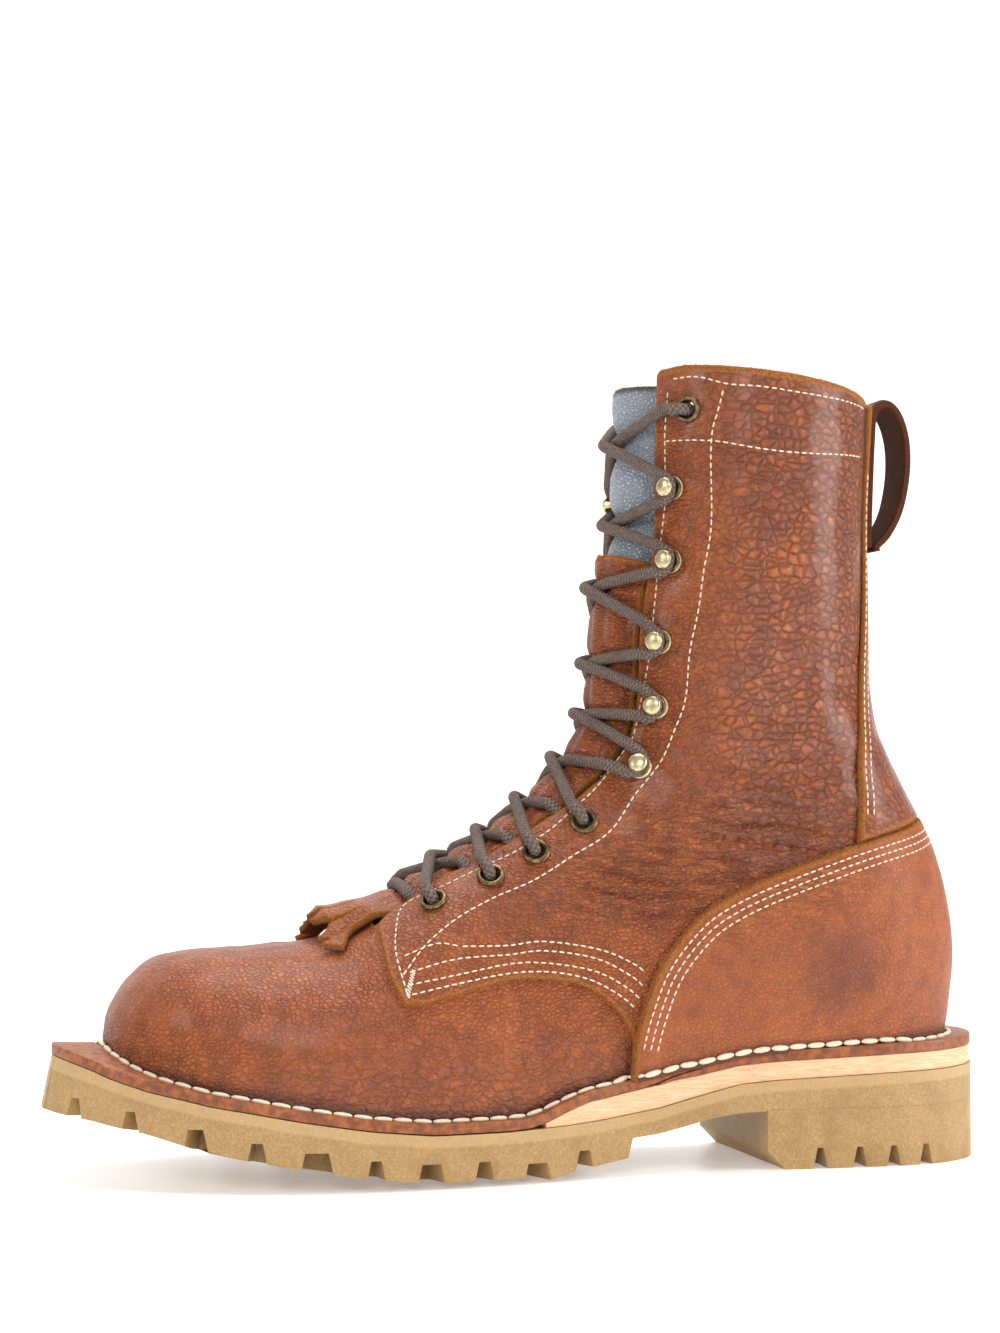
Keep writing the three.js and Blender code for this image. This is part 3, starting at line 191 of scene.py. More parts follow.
def rubber_top(s):
    extra = (HEEL_RUBBER - FORE_RUBBER) * look_up(HEEL_SHARE, s / LENGTH)
    return tread(s) + FORE_RUBBER * look_up(FORE_SHARE, s / LENGTH) + extra

def midsole_top(s):
    return rubber_top(s) + MIDSOLE * look_up(MIDSOLE_SHARE, s / LENGTH)

def seat(s):
    return midsole_top(s) + WELT

# %% The last as a surface
def smooth_rows(rows, t):
    """Catmull-Rom values of every column of a table at the row numbers t."""
    rows = np.array(rows, float)
    last = len(rows) - 1
    padded = np.vstack([2 * rows[0] - rows[1], rows, 2 * rows[-1] - rows[-2]])
    t = np.clip(np.atleast_1d(t), 0, last)
    i = np.minimum(np.floor(t).astype(int), last - 1)
    u = (t - i)[:, None]
    p0, p1, p2, p3 = padded[i], padded[i + 1], padded[i + 2], padded[i + 3]
    square = (2 * p0 - 5 * p1 + 4 * p2 - p3) * u ** 2
    cube = (3 * p1 - p0 - 3 * p2 + p3) * u ** 3
    return (2 * p1 + (p2 - p0) * u + square + cube) / 2

def run_along(line):
    """Distance run along a line of points, from 0 at its start."""
    steps = np.linalg.norm(np.diff(line, axis=0), axis=1)
    return np.concatenate([[0], np.cumsum(steps)])

def at_runs(line, runs):
    """Points of a line at the given distances along it."""
    run = run_along(line)
    return np.stack([np.interp(runs, run, column) for column in line.T], axis=1)

def directions(line):
    """Unit directions along a line of points."""
    along = np.gradient(line, axis=0)
    return along / np.linalg.norm(along, axis=1, keepdims=True)

def height_at(i, s, rise):
    """Height of a section's ridge or base: its share counts from the seat line."""
    leg = rise * INSTEP if rise <= 1 else INSTEP + (rise - 1) * SHAFT
    return seat(s) + (rise * TOE_BOX if i < TOE_ROWS else leg)

ROWS = [
    (rx * LENGTH, height_at(i, rx * LENGTH, rz), bx * LENGTH, height_at(i, bx * LENGTH, bz),
     outer * HALF_BALL, inner * HALF_BALL, middle * HALF_BALL, *form)
    for i, (rx, rz, bx, bz, outer, inner, middle, *form) in enumerate(SECTIONS)
]
LAST_ROW = len(ROWS) - 1
ANGLES = np.linspace(0, np.pi, 121)

def half_sections(t, side):
    """Dense half sections at each t, with the length run along each from its ridge."""
    rx, rz, bx, bz, outer, inner, middle, widest, low, high = (
        column[:, None] for column in smooth_rows(ROWS, t).T)
    power = 2 / np.where(ANGLES <= np.pi / 2, high, low)
    across = np.maximum(np.sin(ANGLES), 0) ** power
    rise = np.abs(np.cos(ANGLES)) ** power
    up = np.where(ANGLES <= np.pi / 2, widest + (1 - widest) * rise, widest * (1 - rise))
    reach = outer - middle if side > 0 else -inner - middle
    points = np.stack([bx + (rx - bx) * up, middle + reach * across, bz + (rz - bz) * up], -1)
    steps = np.linalg.norm(np.diff(points, axis=1), axis=2)
    run = np.concatenate([np.zeros((len(points), 1)), np.cumsum(steps, axis=1)], axis=1)
    return points, run

def skin(ts, cs):
    """Points of the last at every section in ts and every place round in cs. A place
    beyond 1 runs on through the base to the inner side."""
    ts, cs = np.asarray(ts, float), np.asarray(cs, float)
    grid = np.zeros((len(ts), len(cs), 3))
    for side, chosen in ((1, (cs >= 0) & (cs <= 1)), (-1, (cs < 0) | (cs > 1))):
        share = np.where(cs > 1, 2 - cs, np.abs(cs))[chosen]
        points, run = half_sections(ts, side)
        for i in range(len(ts)):
            for axis in range(3):
                row = np.interp(share * run[i, -1], run[i], points[i, :, axis])
                grid[i, chosen, axis] = row
    return grid

def skin_normals(grid):
    """Outward normals of a wide grid of the last."""
    normal = np.cross(np.gradient(grid, axis=0), np.gradient(grid, axis=1))
    normal /= np.maximum(np.linalg.norm(normal, axis=2, keepdims=True), 1e-9)
    middle = grid.mean(axis=1, keepdims=True)
    return normal * np.sign(((grid - middle) * normal).sum())

def on_last(t, round_mm, offset=0.0):
    """One point of the last by section and distance round in mm, moved outwards."""
    side = -1 if round_mm < 0 else 1
    _, run = half_sections([t], side)
    c = round_mm / run[0, -1]
    patch = skin([t - 0.05, t, t + 0.05], [c - 0.02, c, c + 0.02])
    normal = skin_normals_at(patch, side)
    return patch[1, 1] + normal * offset, normal

def skin_normals_at(patch, side):
    """Outward normal at the middle of a small patch of the last."""
    normal = np.cross(patch[1, 2] - patch[1, 0], patch[2, 1] - patch[0, 1])
    normal /= np.linalg.norm(normal)
    return normal * np.sign(normal[1] * side if abs(patch[1, 1, 1]) > 4 else normal[0])

print("last:", len(ROWS), "sections, heel seat at", round(float(seat(30.0)), 1), "mm")

# %% [markdown]
# Leather panels are flat pieces cut with a knife and laid over the last. Here each one
# starts as a fine grid on the last's surface. It is trimmed along its edge curves, so
# that the edge is a clean line and not a staircase, and then given its thickness with a
# rounded edge. Edit-mode tools can't follow a curve over a curved surface this finely,
# so the panels are worked out as arrays and become ordinary meshes at the end.

# %% Distances in the side view
def curve(points, steps=12):
    """A smooth line through given points."""
    t = np.linspace(0, len(points) - 1, (len(points) - 1) * steps + 1)
    return smooth_rows(points, t)

def side_view(table, steps=8):
    """A smooth side-view line in mm from shares of the length and collar height."""
    return curve([(x * LENGTH, z * COLLAR) for x, z in table], steps)

def line_distance(points, line):
    """Distance in the side view from each point to a line of points."""
    best = np.full(len(points), 1e9)
    for a, b in zip(line[:-1], line[1:]):
        step = b - a
        share = np.clip(((points - a) @ step) / max(step @ step, 1e-9), 0, 1)
        best = np.minimum(best, np.linalg.norm(points - a - share[:, None] * step, axis=1))
    return best

def inside_distance(points, ring):
    """Distance to a closed side-view outline, positive inside it."""
    closed = np.vstack([ring, ring[:1]])
    inside = np.zeros(len(points), bool)
    x, z = points.T
    for (ax, az), (bx, bz) in zip(closed[:-1], closed[1:]):
        if az != bz:
            crosses = (az > z) != (bz > z)
            inside ^= crosses & (x < (bx - ax) * (z - az) / (bz - az) + ax)
    return np.where(inside, 1, -1) * line_distance(points, closed)

FAR = 90.0
quarter_line = side_view(QUARTER_EDGE)
counter_line = side_view(COUNTER_EDGE)
backstay_line = side_view(BACKSTAY_EDGE)
QUARTER_RING = np.vstack([[quarter_line[0][0], COLLAR + FAR], quarter_line, [-FAR, 0],
                          [-FAR, COLLAR + FAR]])
COUNTER_RING = np.vstack([counter_line, [-FAR, counter_line[-1][1]], [-FAR, -FAR],
                          [counter_line[0][0], -FAR]])
BACKSTAY_RING = np.vstack([backstay_line, [-FAR, backstay_line[-1][1]], [-FAR, backstay_line[0][1]]])

# %% Trimming
def trim(data, faces, field, keep_both=False):
    """Splits triangles where field is 0, and drops the side where it is negative."""
    inside = field > 0
    count = inside[faces].sum(axis=1)
    kept = [faces[count == 3]] + ([faces[count == 0]] if keep_both else [])
    mixed = faces[(count == 1) | (count == 2)]
    edges = np.sort(np.vstack([mixed[:, [0, 1]], mixed[:, [1, 2]], mixed[:, [2, 0]]]), axis=1)
    edges = np.unique(edges[inside[edges[:, 0]] != inside[edges[:, 1]]], axis=0)
    fa, fb = field[edges[:, 0]], field[edges[:, 1]]
    share = np.clip(fa / (fa - fb), 0.02, 0.98)[:, None]
    data_new = data[edges[:, 0]] * (1 - share) + data[edges[:, 1]] * share
    place = {(int(a), int(b)): len(data) + k for k, (a, b) in enumerate(edges)}
    fresh = []
    for tri in mixed:
        flags = inside[tri]
        alone = int(np.argmax(flags)) if flags.sum() == 1 else int(np.argmin(flags))
        a, b, c = (int(tri[(alone + k) % 3]) for k in range(3))
        ab, ac = place[tuple(sorted((a, b)))], place[tuple(sorted((a, c)))]
        if flags.sum() == 1 or keep_both:
            fresh.append((a, ab, ac))
        if flags.sum() == 2 or keep_both:
            fresh += [(ab, b, c), (ab, c, ac)]
    faces = np.vstack([*kept, np.array(fresh, int).reshape(-1, 3)])
    data = np.vstack([data, data_new])
    used, faces = np.unique(faces, return_inverse=True)
    return data[used], faces.reshape(-1, 3)

def grid_faces(rows, columns):
    at = np.arange(rows * columns).reshape(rows, columns)
    a, b, c, d = at[:-1, :-1], at[:-1, 1:], at[1:, 1:], at[1:, :-1]
    first = np.stack([a, b, c], -1).reshape(-1, 3)
    return np.vstack([first, np.stack([a, c, d], -1).reshape(-1, 3)])

def turned_out(data, faces):
    """The faces, all turned round if they point into the last."""
    a, b, c = (data[faces[:, k], :3] for k in range(3))
    inwards = (np.cross(b - a, c - a) * data[faces[:, 0], 3:6]).sum() < 0
    return faces[:, ::-1] if inwards else faces

def panel(ts, cs):
    """Data rows of x, y, z, normal, t, c over a fine grid of the last, with its faces."""
    grid = skin(ts, cs)
    normal = skin_normals(grid)
    tt, cc = np.meshgrid(ts, cs, indexing="ij")
    data = np.concatenate([grid, normal, tt[..., None], cc[..., None]], axis=2).reshape(-1, 8)
    return data, turned_out(data, grid_faces(len(ts), len(cs)))

# %% From arrays to objects
def to_object(name, points, faces, finish, attributes=()):
    """A mesh object from points in mm along the boot, with per-point attributes."""
    mesh = bpy.data.meshes.new(name)
    placed = (np.asarray(points, float) + BOOT_ORIGIN) * MM
    mesh.from_pydata(placed.tolist(), [], [tuple(map(int, f)) for f in faces])
    for label, values in attributes:
        layer = mesh.attributes.new(label, "FLOAT", "POINT")
        layer.data.foreach_set("value", np.asarray(values, np.float32))
    mesh.materials.append(finish)
    mesh.shade_smooth()
    made = bpy.data.objects.new(name, mesh)
    bpy.context.scene.collection.objects.link(made)
    return made

def lumps(points, size, seed):
    """Soft hand-like unevenness between -1 and 1."""
    shift = Vector((seed, seed * 2, seed * 3))
    return np.array([noise.noise(Vector(p) / size + shift) for p in points])

def stands_for(made, slot, *nodes):
    """Puts a finished piece on the boot's body in place of its CAD nodes."""
    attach(made, "root")
    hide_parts(*nodes)
    print(made.name, len(made.data.polygons), "faces")

RIM_CLEAR = 7.0  # a rim this far above the seat line is a cut edge that shows
raw_rims = []

def thicken(name, data, faces, outer, inner, edge, finish, rounding=0.9, extra=(), fray=1.3):
    """Closes a trimmed panel into a solid: outer and inner offsets from the last, and an
    edge rounded over the first rounding mm, where edge is the distance to the cut."""
    near = np.clip(1 - edge / rounding, 0, 1)
    drop = rounding * (1 - np.sqrt(1 - near ** 2))
    top = data[:, :3] + data[:, 3:6] * (outer - drop)[:, None]
    bottom = data[:, :3] + data[:, 3:6] * np.broadcast_to(inner, len(data))[:, None]
    count = len(data)
    pairs = np.vstack([faces[:, [0, 1]], faces[:, [1, 2]], faces[:, [2, 0]]])
    keys = {(int(a), int(b)) for a, b in pairs}
    rim = [(a, b) for a, b in keys if (b, a) not in keys]
    rim.sort()
    walls = [(b, a, a + count, b + count) for a, b in rim]
    for a, b in rim:
        if top[a, 2] > seat(top[a, 0]) + RIM_CLEAR:
            raw_rims.append((top[a], top[b], data[a, 3:6]))
    under = [tuple(f[::-1] + count) for f in faces]
    frayed = fray + 0.6 * lumps(data[:, :3], 1.7, 2)
    raw = np.concatenate([np.clip(1.35 - edge / frayed, 0, 1), np.ones(count)])
    lining = np.concatenate([np.zeros(count), np.ones(count)])
    shared = [(label, np.concatenate([values, values])) for label, values in extra]
    attributes = [("raw", raw), ("lining", lining), *shared]
    everything = [tuple(f) for f in faces] + under + walls
    return to_object(name, np.vstack([top, bottom]), everything, finish, attributes)

# %% [markdown]
# Shader maths reads best as plain sums. Val wraps a socket, and every operator on it adds
# the Math node that does that sum. Finish makes one material and adds any other node.

# %% Shader helpers
class Val:
    """A node socket that takes part in Python arithmetic."""
    def __init__(self, finish, socket):
        self.finish, self.socket = finish, socket

    def sum(self, operation, other, swap=False):
        pair = (other, self) if swap else (self, other)
        return self.finish.node("ShaderNodeMath", {"operation": operation}, *pair)

    def __add__(self, other):
        return self.sum("ADD", other)

    def __sub__(self, other):
        return self.sum("SUBTRACT", other)

    def __rsub__(self, other):
        return self.sum("SUBTRACT", other, swap=True)

    def __mul__(self, other):
        return self.sum("MULTIPLY", other)

    __radd__ = __add__
    __rmul__ = __mul__

    def step(self, low, high):
        """0 below low and 1 above high, smooth between."""
        settings = {"interpolation_type": "SMOOTHSTEP"}
        return self.finish.node("ShaderNodeMapRange", settings, self, low, high, 0.0, 1.0)

class Finish:
    """One material, with its Principled shader's constants set on its own sockets."""
    def __init__(self, name, **constants):
        self.material = bpy.data.materials.new(name)
        self.material.use_nodes = True
        self.tree = self.material.node_tree
        self.shader = self.tree.nodes["Principled BSDF"]
        for socket, value in constants.items():
            self.set(socket.replace("_", " "), value)

    def node(self, kind, settings=None, *inputs, out=0, **named):
        """Adds a node: its settings first, then values or links by place and by name."""
        by_name = [(key.replace("_", " "), value) for key, value in named.items()]
        made = self.tree.nodes.new(kind)
        for key, value in (settings or {}).items():
            setattr(made, key, value)
        for key, value in [*enumerate(inputs), *by_name]:
            if isinstance(value, Val):
                self.tree.links.new(value.socket, made.inputs[key])
            elif value is not None:
                made.inputs[key].default_value = value
        return Val(self, made.outputs[out])

    def set(self, socket, value):
        if isinstance(value, Val):
            self.tree.links.new(value.socket, self.shader.inputs[socket])
        else:
            self.shader.inputs[socket].default_value = value

    def place(self, stretch=(1, 1, 1)):
        """Object coordinates in millimetres, stretched."""
        where = self.node("ShaderNodeTexCoord", out=3)
        return self.node("ShaderNodeMapping", None, where, Scale=[k / MM for k in stretch])

    def noise(self, where, scale, detail=2.0, roughness=0.5):
        return self.node("ShaderNodeTexNoise", None, where, Scale=scale, Detail=detail,
                         Roughness=roughness)

    def cells(self, where, scale):
        """Distance to the nearest edge between scattered cells."""
        return self.node("ShaderNodeTexVoronoi", {"feature": "DISTANCE_TO_EDGE"}, where, Scale=scale)

    def attribute(self, name):
        return self.node("ShaderNodeAttribute", {"attribute_name": name}, out=2)

    def mix(self, share, first, second):
        """Blends two colours, whose sockets on a Mix node are numbers 6 and 7."""
        skipped = [None] * 5
        return self.node("ShaderNodeMix", {"data_type": "RGBA"}, share, *skipped, first, second,
                         out=2)

    def bump(self, height, strength, distance_mm):
        """Turns a height into the shader's normal."""
        self.set("Normal", self.node("ShaderNodeBump", None, strength, distance_mm * MM,
                                     Height=height))

def rgb(red, green, blue):
    """A colour as a painter names it, 0 to 255, made linear."""
    share = [c / 255 for c in (red, green, blue)]
    return (*[c / 12.92 if c < 0.04 else ((c + 0.055) / 1.055) ** 2.4 for c in share], 1.0)

# %% [markdown]
# The hide is oiled, shrunken leather: large glossy pebbles on the shaft, a finer crackle
# on the vamp, and almost smooth on the counter. One function makes all of them, with the
# size of the grain read from an attribute. Where the panel was cut, the raw edge shows
# orange suede, and the flesh side inside is pale.

# %% Leather
def make_leather(name, light, middle, dark, pebble=0.9, gloss=0.36,
                 cut=(rgb(112, 58, 20), rgb(206, 128, 56))):
    leather = Finish(name, Specular_IOR_Level=0.36)
    where = leather.place()
    wobble = leather.noise(where, 0.16, 1.0)
    coarse, raw = leather.attribute("coarse"), leather.attribute("raw")
    lining, crease_shade = leather.attribute("lining"), leather.attribute("crease_shade")
    feather, ankle = leather.attribute("feather"), leather.attribute("ankle")
    sideways = Val(leather, wobble.socket.node.outputs[1])
    drift = leather.node("ShaderNodeVectorMath", {"operation": "MULTIPLY_ADD"}, sideways,
                         (2.6, 2.6, 2.6), leather.place((0.85, 0.85, 1.15)))

    def pebbles(scale, width):
        edge = leather.cells(drift, scale).step(-width, width)
        return (edge - 0.5) * 2

    large, small = pebbles(0.31, 0.36), pebbles(0.62, 0.34)
    pores = leather.noise(where, 3.4, 3.0, 0.6)
    wrinkle = leather.noise(leather.place((0.14, 0.2, 0.55)), 1.0, 3.0, 0.55)
    blotch = leather.noise(where, 0.03, 3.0, 0.6)
    patch = leather.noise(where, 0.16, 4.0, 0.65)
    pucker = leather.noise(leather.place((0.42, 0.42, 0.1)), 1.0, 2.0)
    fibre = leather.noise(where, 2.2, 5.0, 0.8)
    fine = 1 - coarse
    grain = large * coarse + small * fine * 0.5
    skin_height = grain * pebble + small * coarse * 0.12 + pores * 0.10
    off_line = leather.node("ShaderNodeMath", {"operation": "ABSOLUTE"}, wrinkle - 0.5)
    folds = off_line.step(0.0, 0.07)
    skin_height = skin_height + wrinkle * (ankle + 0.12) + folds * ankle * 0.55
    skin_height = skin_height + pucker * feather * 1.2
    leather.bump(skin_height * (1 - raw) + fibre * raw * 1.2, 1.0, 1.0)
    tone = leather.mix(blotch.step(0.36, 0.64) * 0.5, middle, light)
    tone = leather.mix(patch.step(0.40, 0.66) * 0.45, tone, dark)
    crown = large.step(0.4, 1.0) * coarse
    tone = leather.mix(crown * patch.step(0.38, 0.62) * 0.55, tone, rgb(92, 44, 38))
    # painted shade: the valleys between the pebbles are darkened towards dark brown
    grain_valley_shade = (1 - large) * coarse * 0.6 + (1 - small) * fine * 0.3
    tone = leather.mix(grain_valley_shade, tone, rgb(70, 32, 16))
    # painted shade: at the ankle the leather is darkened along the wrinkle troughs
    tone = leather.mix((1 - folds) * ankle * 0.3, tone, rgb(84, 36, 20))
    # painted shade: the leather is darkened along the troughs of the creases
    tone = leather.mix(crease_shade * 0.3, tone, rgb(66, 30, 18))
    # painted shade: the leather darkens towards dark brown over the last 9 mm above the seat line,
    # where the upper meets the welt
    tone = leather.mix(feather.step(0.25, 1.0) * 0.7, tone, rgb(62, 26, 16))
    tone = leather.mix(leather.attribute("bruise") * 0.55, tone, rgb(84, 38, 32))
    suede = leather.mix(fibre.step(0.36, 0.64), *cut)
    tone = leather.mix(raw.step(0.2, 0.7), tone, suede)
    flesh = leather.mix(fibre.step(0.3, 0.7), rgb(150, 98, 58), rgb(190, 140, 92))
    leather.set("Base Color", leather.mix(lining, tone, flesh))
    leather.set("Roughness", gloss + (1 - grain) * 0.12 + patch * 0.10 + raw * 0.5 + lining * 0.3)
    leather.set("Coat Weight", (1 - raw) * (coarse * 0.28 + 0.10))
    leather.set("Coat Roughness", 0.2)
    return leather.material

TAN = [rgb(178, 94, 38), rgb(152, 75, 29), rgb(108, 49, 21)]
shaft_leather = make_leather("shaft_leather", *TAN, pebble=1.1, gloss=0.30)
vamp_leather = make_leather("vamp_leather", *TAN, pebble=1.0, gloss=0.34)
counter_leather = make_leather("counter_leather", rgb(176, 94, 39), rgb(156, 79, 32),
                               rgb(118, 55, 25), pebble=0.45, gloss=0.36)
loop_leather = make_leather("loop_leather", rgb(118, 60, 28), rgb(96, 48, 23), rgb(70, 34, 17),
                            pebble=0.7, gloss=0.5, cut=(rgb(52, 26, 13), rgb(120, 64, 30)))
print("leathers:", shaft_leather.name, vamp_leather.name, counter_leather.name, loop_leather.name)

# %% [markdown]
# The shaft has flexed at the ankle, so soft troughs run from the eyestay back to the
# counter. Each crease is a line given in the side view, with its depth and width in
# millimetres. The leather sinks along it and swells a little on both sides.

# %% Creases
CREASES = [
    ([(114, 125), (103, 123), (89, 125), (74, 122), (65, 123)], 0.8, 1.5),
    ([(111, 119), (99, 116), (84, 117), (73, 116), (64, 112)], 1.1, 1.6),
    ([(116, 115), (103, 112), (91, 111), (79, 109), (67, 107), (59, 107)], 1.2, 1.7),
    ([(151, 103), (137, 99), (123, 97), (108, 98), (95, 99), (81, 102), (75, 103)], 1.3, 1.8),
    ([(157, 98), (145, 94), (132, 92), (118, 93), (103, 94)], 1.2, 1.6),
    ([(154, 93), (141, 89), (128, 86), (115, 87), (106, 86)], 1.0, 1.6),
    ([(133, 108), (118, 106), (103, 105), (89, 104)], 1.0, 1.5),
    ([(142, 84), (128, 82), (116, 83)], 0.7, 1.4),
    ([(103, 95), (95, 96), (85, 98)], 0.6, 1.2),
    ([(99, 127), (87, 129), (75, 126), (67, 127)], 0.6, 1.4),
    ([(104, 106), (95, 103), (83, 105)], 0.6, 1.2),
    ([(150, 108), (138, 104), (126, 103), (112, 101)], 0.7, 1.4),
    ([(163, 91), (150, 88), (138, 85), (126, 84)], 0.7, 1.3),
    ([(96, 141), (84, 138), (73, 140), (64, 137)], 0.6, 1.8),
    ([(90, 153), (78, 150), (66, 152)], 0.4, 1.8),
    ([(188, 84), (176, 80), (166, 79)], 0.5, 1.6),
]
SOFT_FOLDS = [
    ([(160, 104), (140, 96), (120, 91), (100, 90)], 1.0, 5.5),
    ([(120, 122), (100, 119), (80, 115), (60, 113)], 1.2, 6.0),
    ([(118, 138), (98, 134), (78, 133), (60, 131)], 0.8, 6.5),
]

def creases(points):
    """Depth of the creases at side-view points, and how deep in a trough each lies, which is painted as
    shade in the troughs.
    """
    rise, dark = np.zeros(len(points)), np.zeros(len(points))
    for line, depth, width in CREASES + SOFT_FOLDS:
        route = curve(line, 6)
        away = line_distance(points, route) / width
        ends = np.minimum(np.linalg.norm(points - route[0], axis=1),
                          np.linalg.norm(points - route[-1], axis=1))
        fade = smoothstep(ends, 0, 14)
        rise += depth * fade * (0.35 * np.exp(-((away - 1.9) / 0.9) ** 2) - np.exp(-away ** 2))
        if width < 3:
            # painted shade: how dark each crease's trough is painted
            dark = np.maximum(dark, fade * np.exp(-(away * 1.5) ** 2) * min(depth, 1))
    return rise, dark

def leather_marks(data, coarse):
    """Attributes that every leather panel carries, and the relief of its surface."""
    side = data[:, [0, 2]]
    rise, dark = creases(side)
    above = data[:, 2] - seat(data[:, 0])
    feather = 1 - smoothstep(above, 0, 9)
    ankle = np.exp(-((side[:, 1] - 104 + (side[:, 0] - 110) * 0.15) / 26) ** 2)
    ankle *= smoothstep(side[:, 0], 40, 70) * (1 - smoothstep(side[:, 0], 165, 200))
    rise += 0.35 * lumps(data[:, :3], 11.0, 3) + 0.12 * lumps(data[:, :3], 4.5, 9)
    bruise = np.exp(-(np.linalg.norm(side - [61, 67], axis=1) / 15) ** 4)
    bruise *= np.clip(1 + 0.5 * lumps(data[:, :3], 9.0, 40), 0, 1) * (data[:, 1] > 0)
    marks = [("coarse", coarse), ("crease_shade", dark), ("feather", feather), ("ankle", ankle),
             ("bruise", bruise)]
    return rise, marks

print("creases:", len(CREASES), "sharp and", len(SOFT_FOLDS), "soft")

# %% [markdown]
# The panels go on in the order in which they are closed: vamp, two quarters that make the
# shaft, the counter round the heel and the backstay over the back seam. Each is the same
# surface, a little further out than the one below it.

# %% Upper panels
GRID = 1.35

def stations(first, last, step=GRID):
    """Section numbers about one grid step apart along the last."""
    t = np.linspace(first, last, 400)
    middle = skin(t, [-0.5, 0.0, 0.5, 0.98])
    run = np.linalg.norm(np.diff(middle, axis=0), axis=2).mean(axis=1)
    run = np.concatenate([[0], np.cumsum(run)])
    return np.interp(np.linspace(0, run[-1], int(run[-1] / step) + 2), run, t)

def ridge_section(share):
    """Section number where the ridge stands at a share of the length."""
    t = np.linspace(0, TOE_ROWS + 8, 2000)
    return float(np.interp(-share * LENGTH, -smooth_rows(ROWS, t)[:, 0], t))

THROAT_START = ridge_section(0.664)
THROAT_HALF = THROAT / 2

def middle_y(t):
    """How far the last's ridge stands to the outer side at each section."""
    return smooth_rows(ROWS, t)[:, 6]

def rounded(first, second, radius):
    """Two trimming distances as one, with a round corner where they meet."""
    both = np.hypot(np.maximum(radius - first, 0), np.maximum(radius - second, 0))
    return np.where((first < radius) & (second < radius), radius - both,
                    np.minimum(first, second))

def collar_room(data):
    """Room below the collar's edge."""
    return look_up([(x * LENGTH, z * COLLAR) for x, z in COLLAR_EDGE], data[:, 0]) - data[:, 2]

def seat_room(data):
    """Room above the seat line, where the upper meets the welt."""
    return data[:, 2] - seat(data[:, 0]) - GAP

def cut_panel(ts, cs, edge_of):
    """A trimmed panel: edge_of gives the distance to the nearest cut, positive inside."""
    data, faces = panel(ts, cs)
    data, faces = trim(data, faces, edge_of(data))
    for ring in (0.3, 0.8, 1.6):
        data, faces = trim(data, faces, edge_of(data) - ring, keep_both=True)
    return data, faces, np.maximum(edge_of(data), 0)

def quarter_edge(data):
    side = inside_distance(data[:, [0, 2]], QUARTER_RING)
    facing = np.abs(data[:, 1] - middle_y(data[:, 6])) - (THROAT_HALF - 1)
    front = rounded(facing, side, 6.0)
    top = rounded(front, collar_room(data), 2.5)
    return np.minimum(top, seat_room(data))

def section_at_height(z, round_mm):
    """Section number where a line round_mm from the ridge reaches a height."""
    low_t, high_t = float(TOE_ROWS), float(LAST_ROW)
    for _ in range(30):
        middle = (low_t + high_t) / 2
        if on_last(middle, round_mm)[0][2] < z:
            low_t = middle
        else:
            high_t = middle
    return (low_t + high_t) / 2

def level_places(levels, side):
    """Section, distance round, point and axes (away from the throat, up, out)."""
    made = []
    for share, margins in levels:
        mm = side * (THROAT_HALF + FACING_MARGIN * margins)
        t = section_at_height(share * COLLAR, mm)
        point, out = on_last(t, mm, QUARTER_STEP)
        up = on_last(min(t + 0.3, LAST_ROW), mm)[0] - on_last(t - 0.3, mm)[0]
        up -= out * (up @ out)
        up /= np.linalg.norm(up)
        away = np.cross(up, out)
        away = -away if away[1] * side < 0 else away
        made.append((t, mm, point, (away, np.cross(out, away), out)))
    return made

def cut_hole(data, faces, edge, rise, marks, field):
    """Trims a hole, carrying the panel's other values along."""
    wide = np.column_stack([data, edge, rise, *(values for _, values in marks)])
    wide, faces = trim(wide, faces, field)
    marks = [(label, wide[:, 10 + k]) for k, (label, _) in enumerate(marks)]
    return wide[:, :8], faces, wide[:, 8], wide[:, 9], marks

# %% Quarters and vamp
EYELET_HOLE = 3.1

def make_quarter(name, sign):
    cs = np.linspace(0.06, 1.0, 124) if sign > 0 else np.linspace(-1.0, -0.06, 124)
    data, faces, edge = cut_panel(stations(6.8, 24.6), cs, quarter_edge)
    coarse = smoothstep(data[:, 2], 70, 125) * (0.35 + 0.65 * (1 - smoothstep(data[:, 0], 88, 118)))
    rise, marks = leather_marks(data, np.clip(coarse, 0, 1))
    rise *= smoothstep(edge, 0, 5)
    for _, _, point, axes in level_places(EYELET_LEVELS, sign):
        hole = np.linalg.norm(data[:, :3] - point + axes[2] * QUARTER_STEP, axis=1)
        data, faces, edge, rise, marks = cut_hole(data, faces, edge, rise, marks, hole - EYELET_HOLE)
    fray = 1.5 + 1.6 * (1 - smoothstep(collar_room(data), 1, 4))
    return thicken(name, data, faces, QUARTER_STEP + rise, -WALL, edge, shaft_leather, 0.9, marks, fray)

def vamp_edge(data):
    under = 14.0 - inside_distance(data[:, [0, 2]], QUARTER_RING)
    opening = np.maximum(np.abs(data[:, 1] - middle_y(data[:, 6])) - THROAT_HALF + 1,
                         (THROAT_START - 0.15 - data[:, 6]) * 16)
    return np.minimum(np.minimum(under, opening), seat_room(data))

def make_vamp():
    data, faces, edge = cut_panel(stations(0.02, 13.0), np.linspace(-0.97, 0.97, 250), vamp_edge)
    coarse = 0.5 * smoothstep(-data[:, 2], -62, -30) * smoothstep(-data[:, 0], -290, -230) + 0.1
    rise, marks = leather_marks(data, coarse)
    under = smoothstep(-inside_distance(data[:, [0, 2]], QUARTER_RING), 0, 4)
    return thicken("vamp", data, faces, rise * under, -WALL + 0.1, edge + 1, vamp_leather, 0.9, marks)

# %% Counter and backstay
def counter_edge(data):
    side = inside_distance(data[:, [0, 2]], COUNTER_RING)
    return np.minimum(side, seat_room(data))

OVER_QUARTER = QUARTER_STEP + GAP

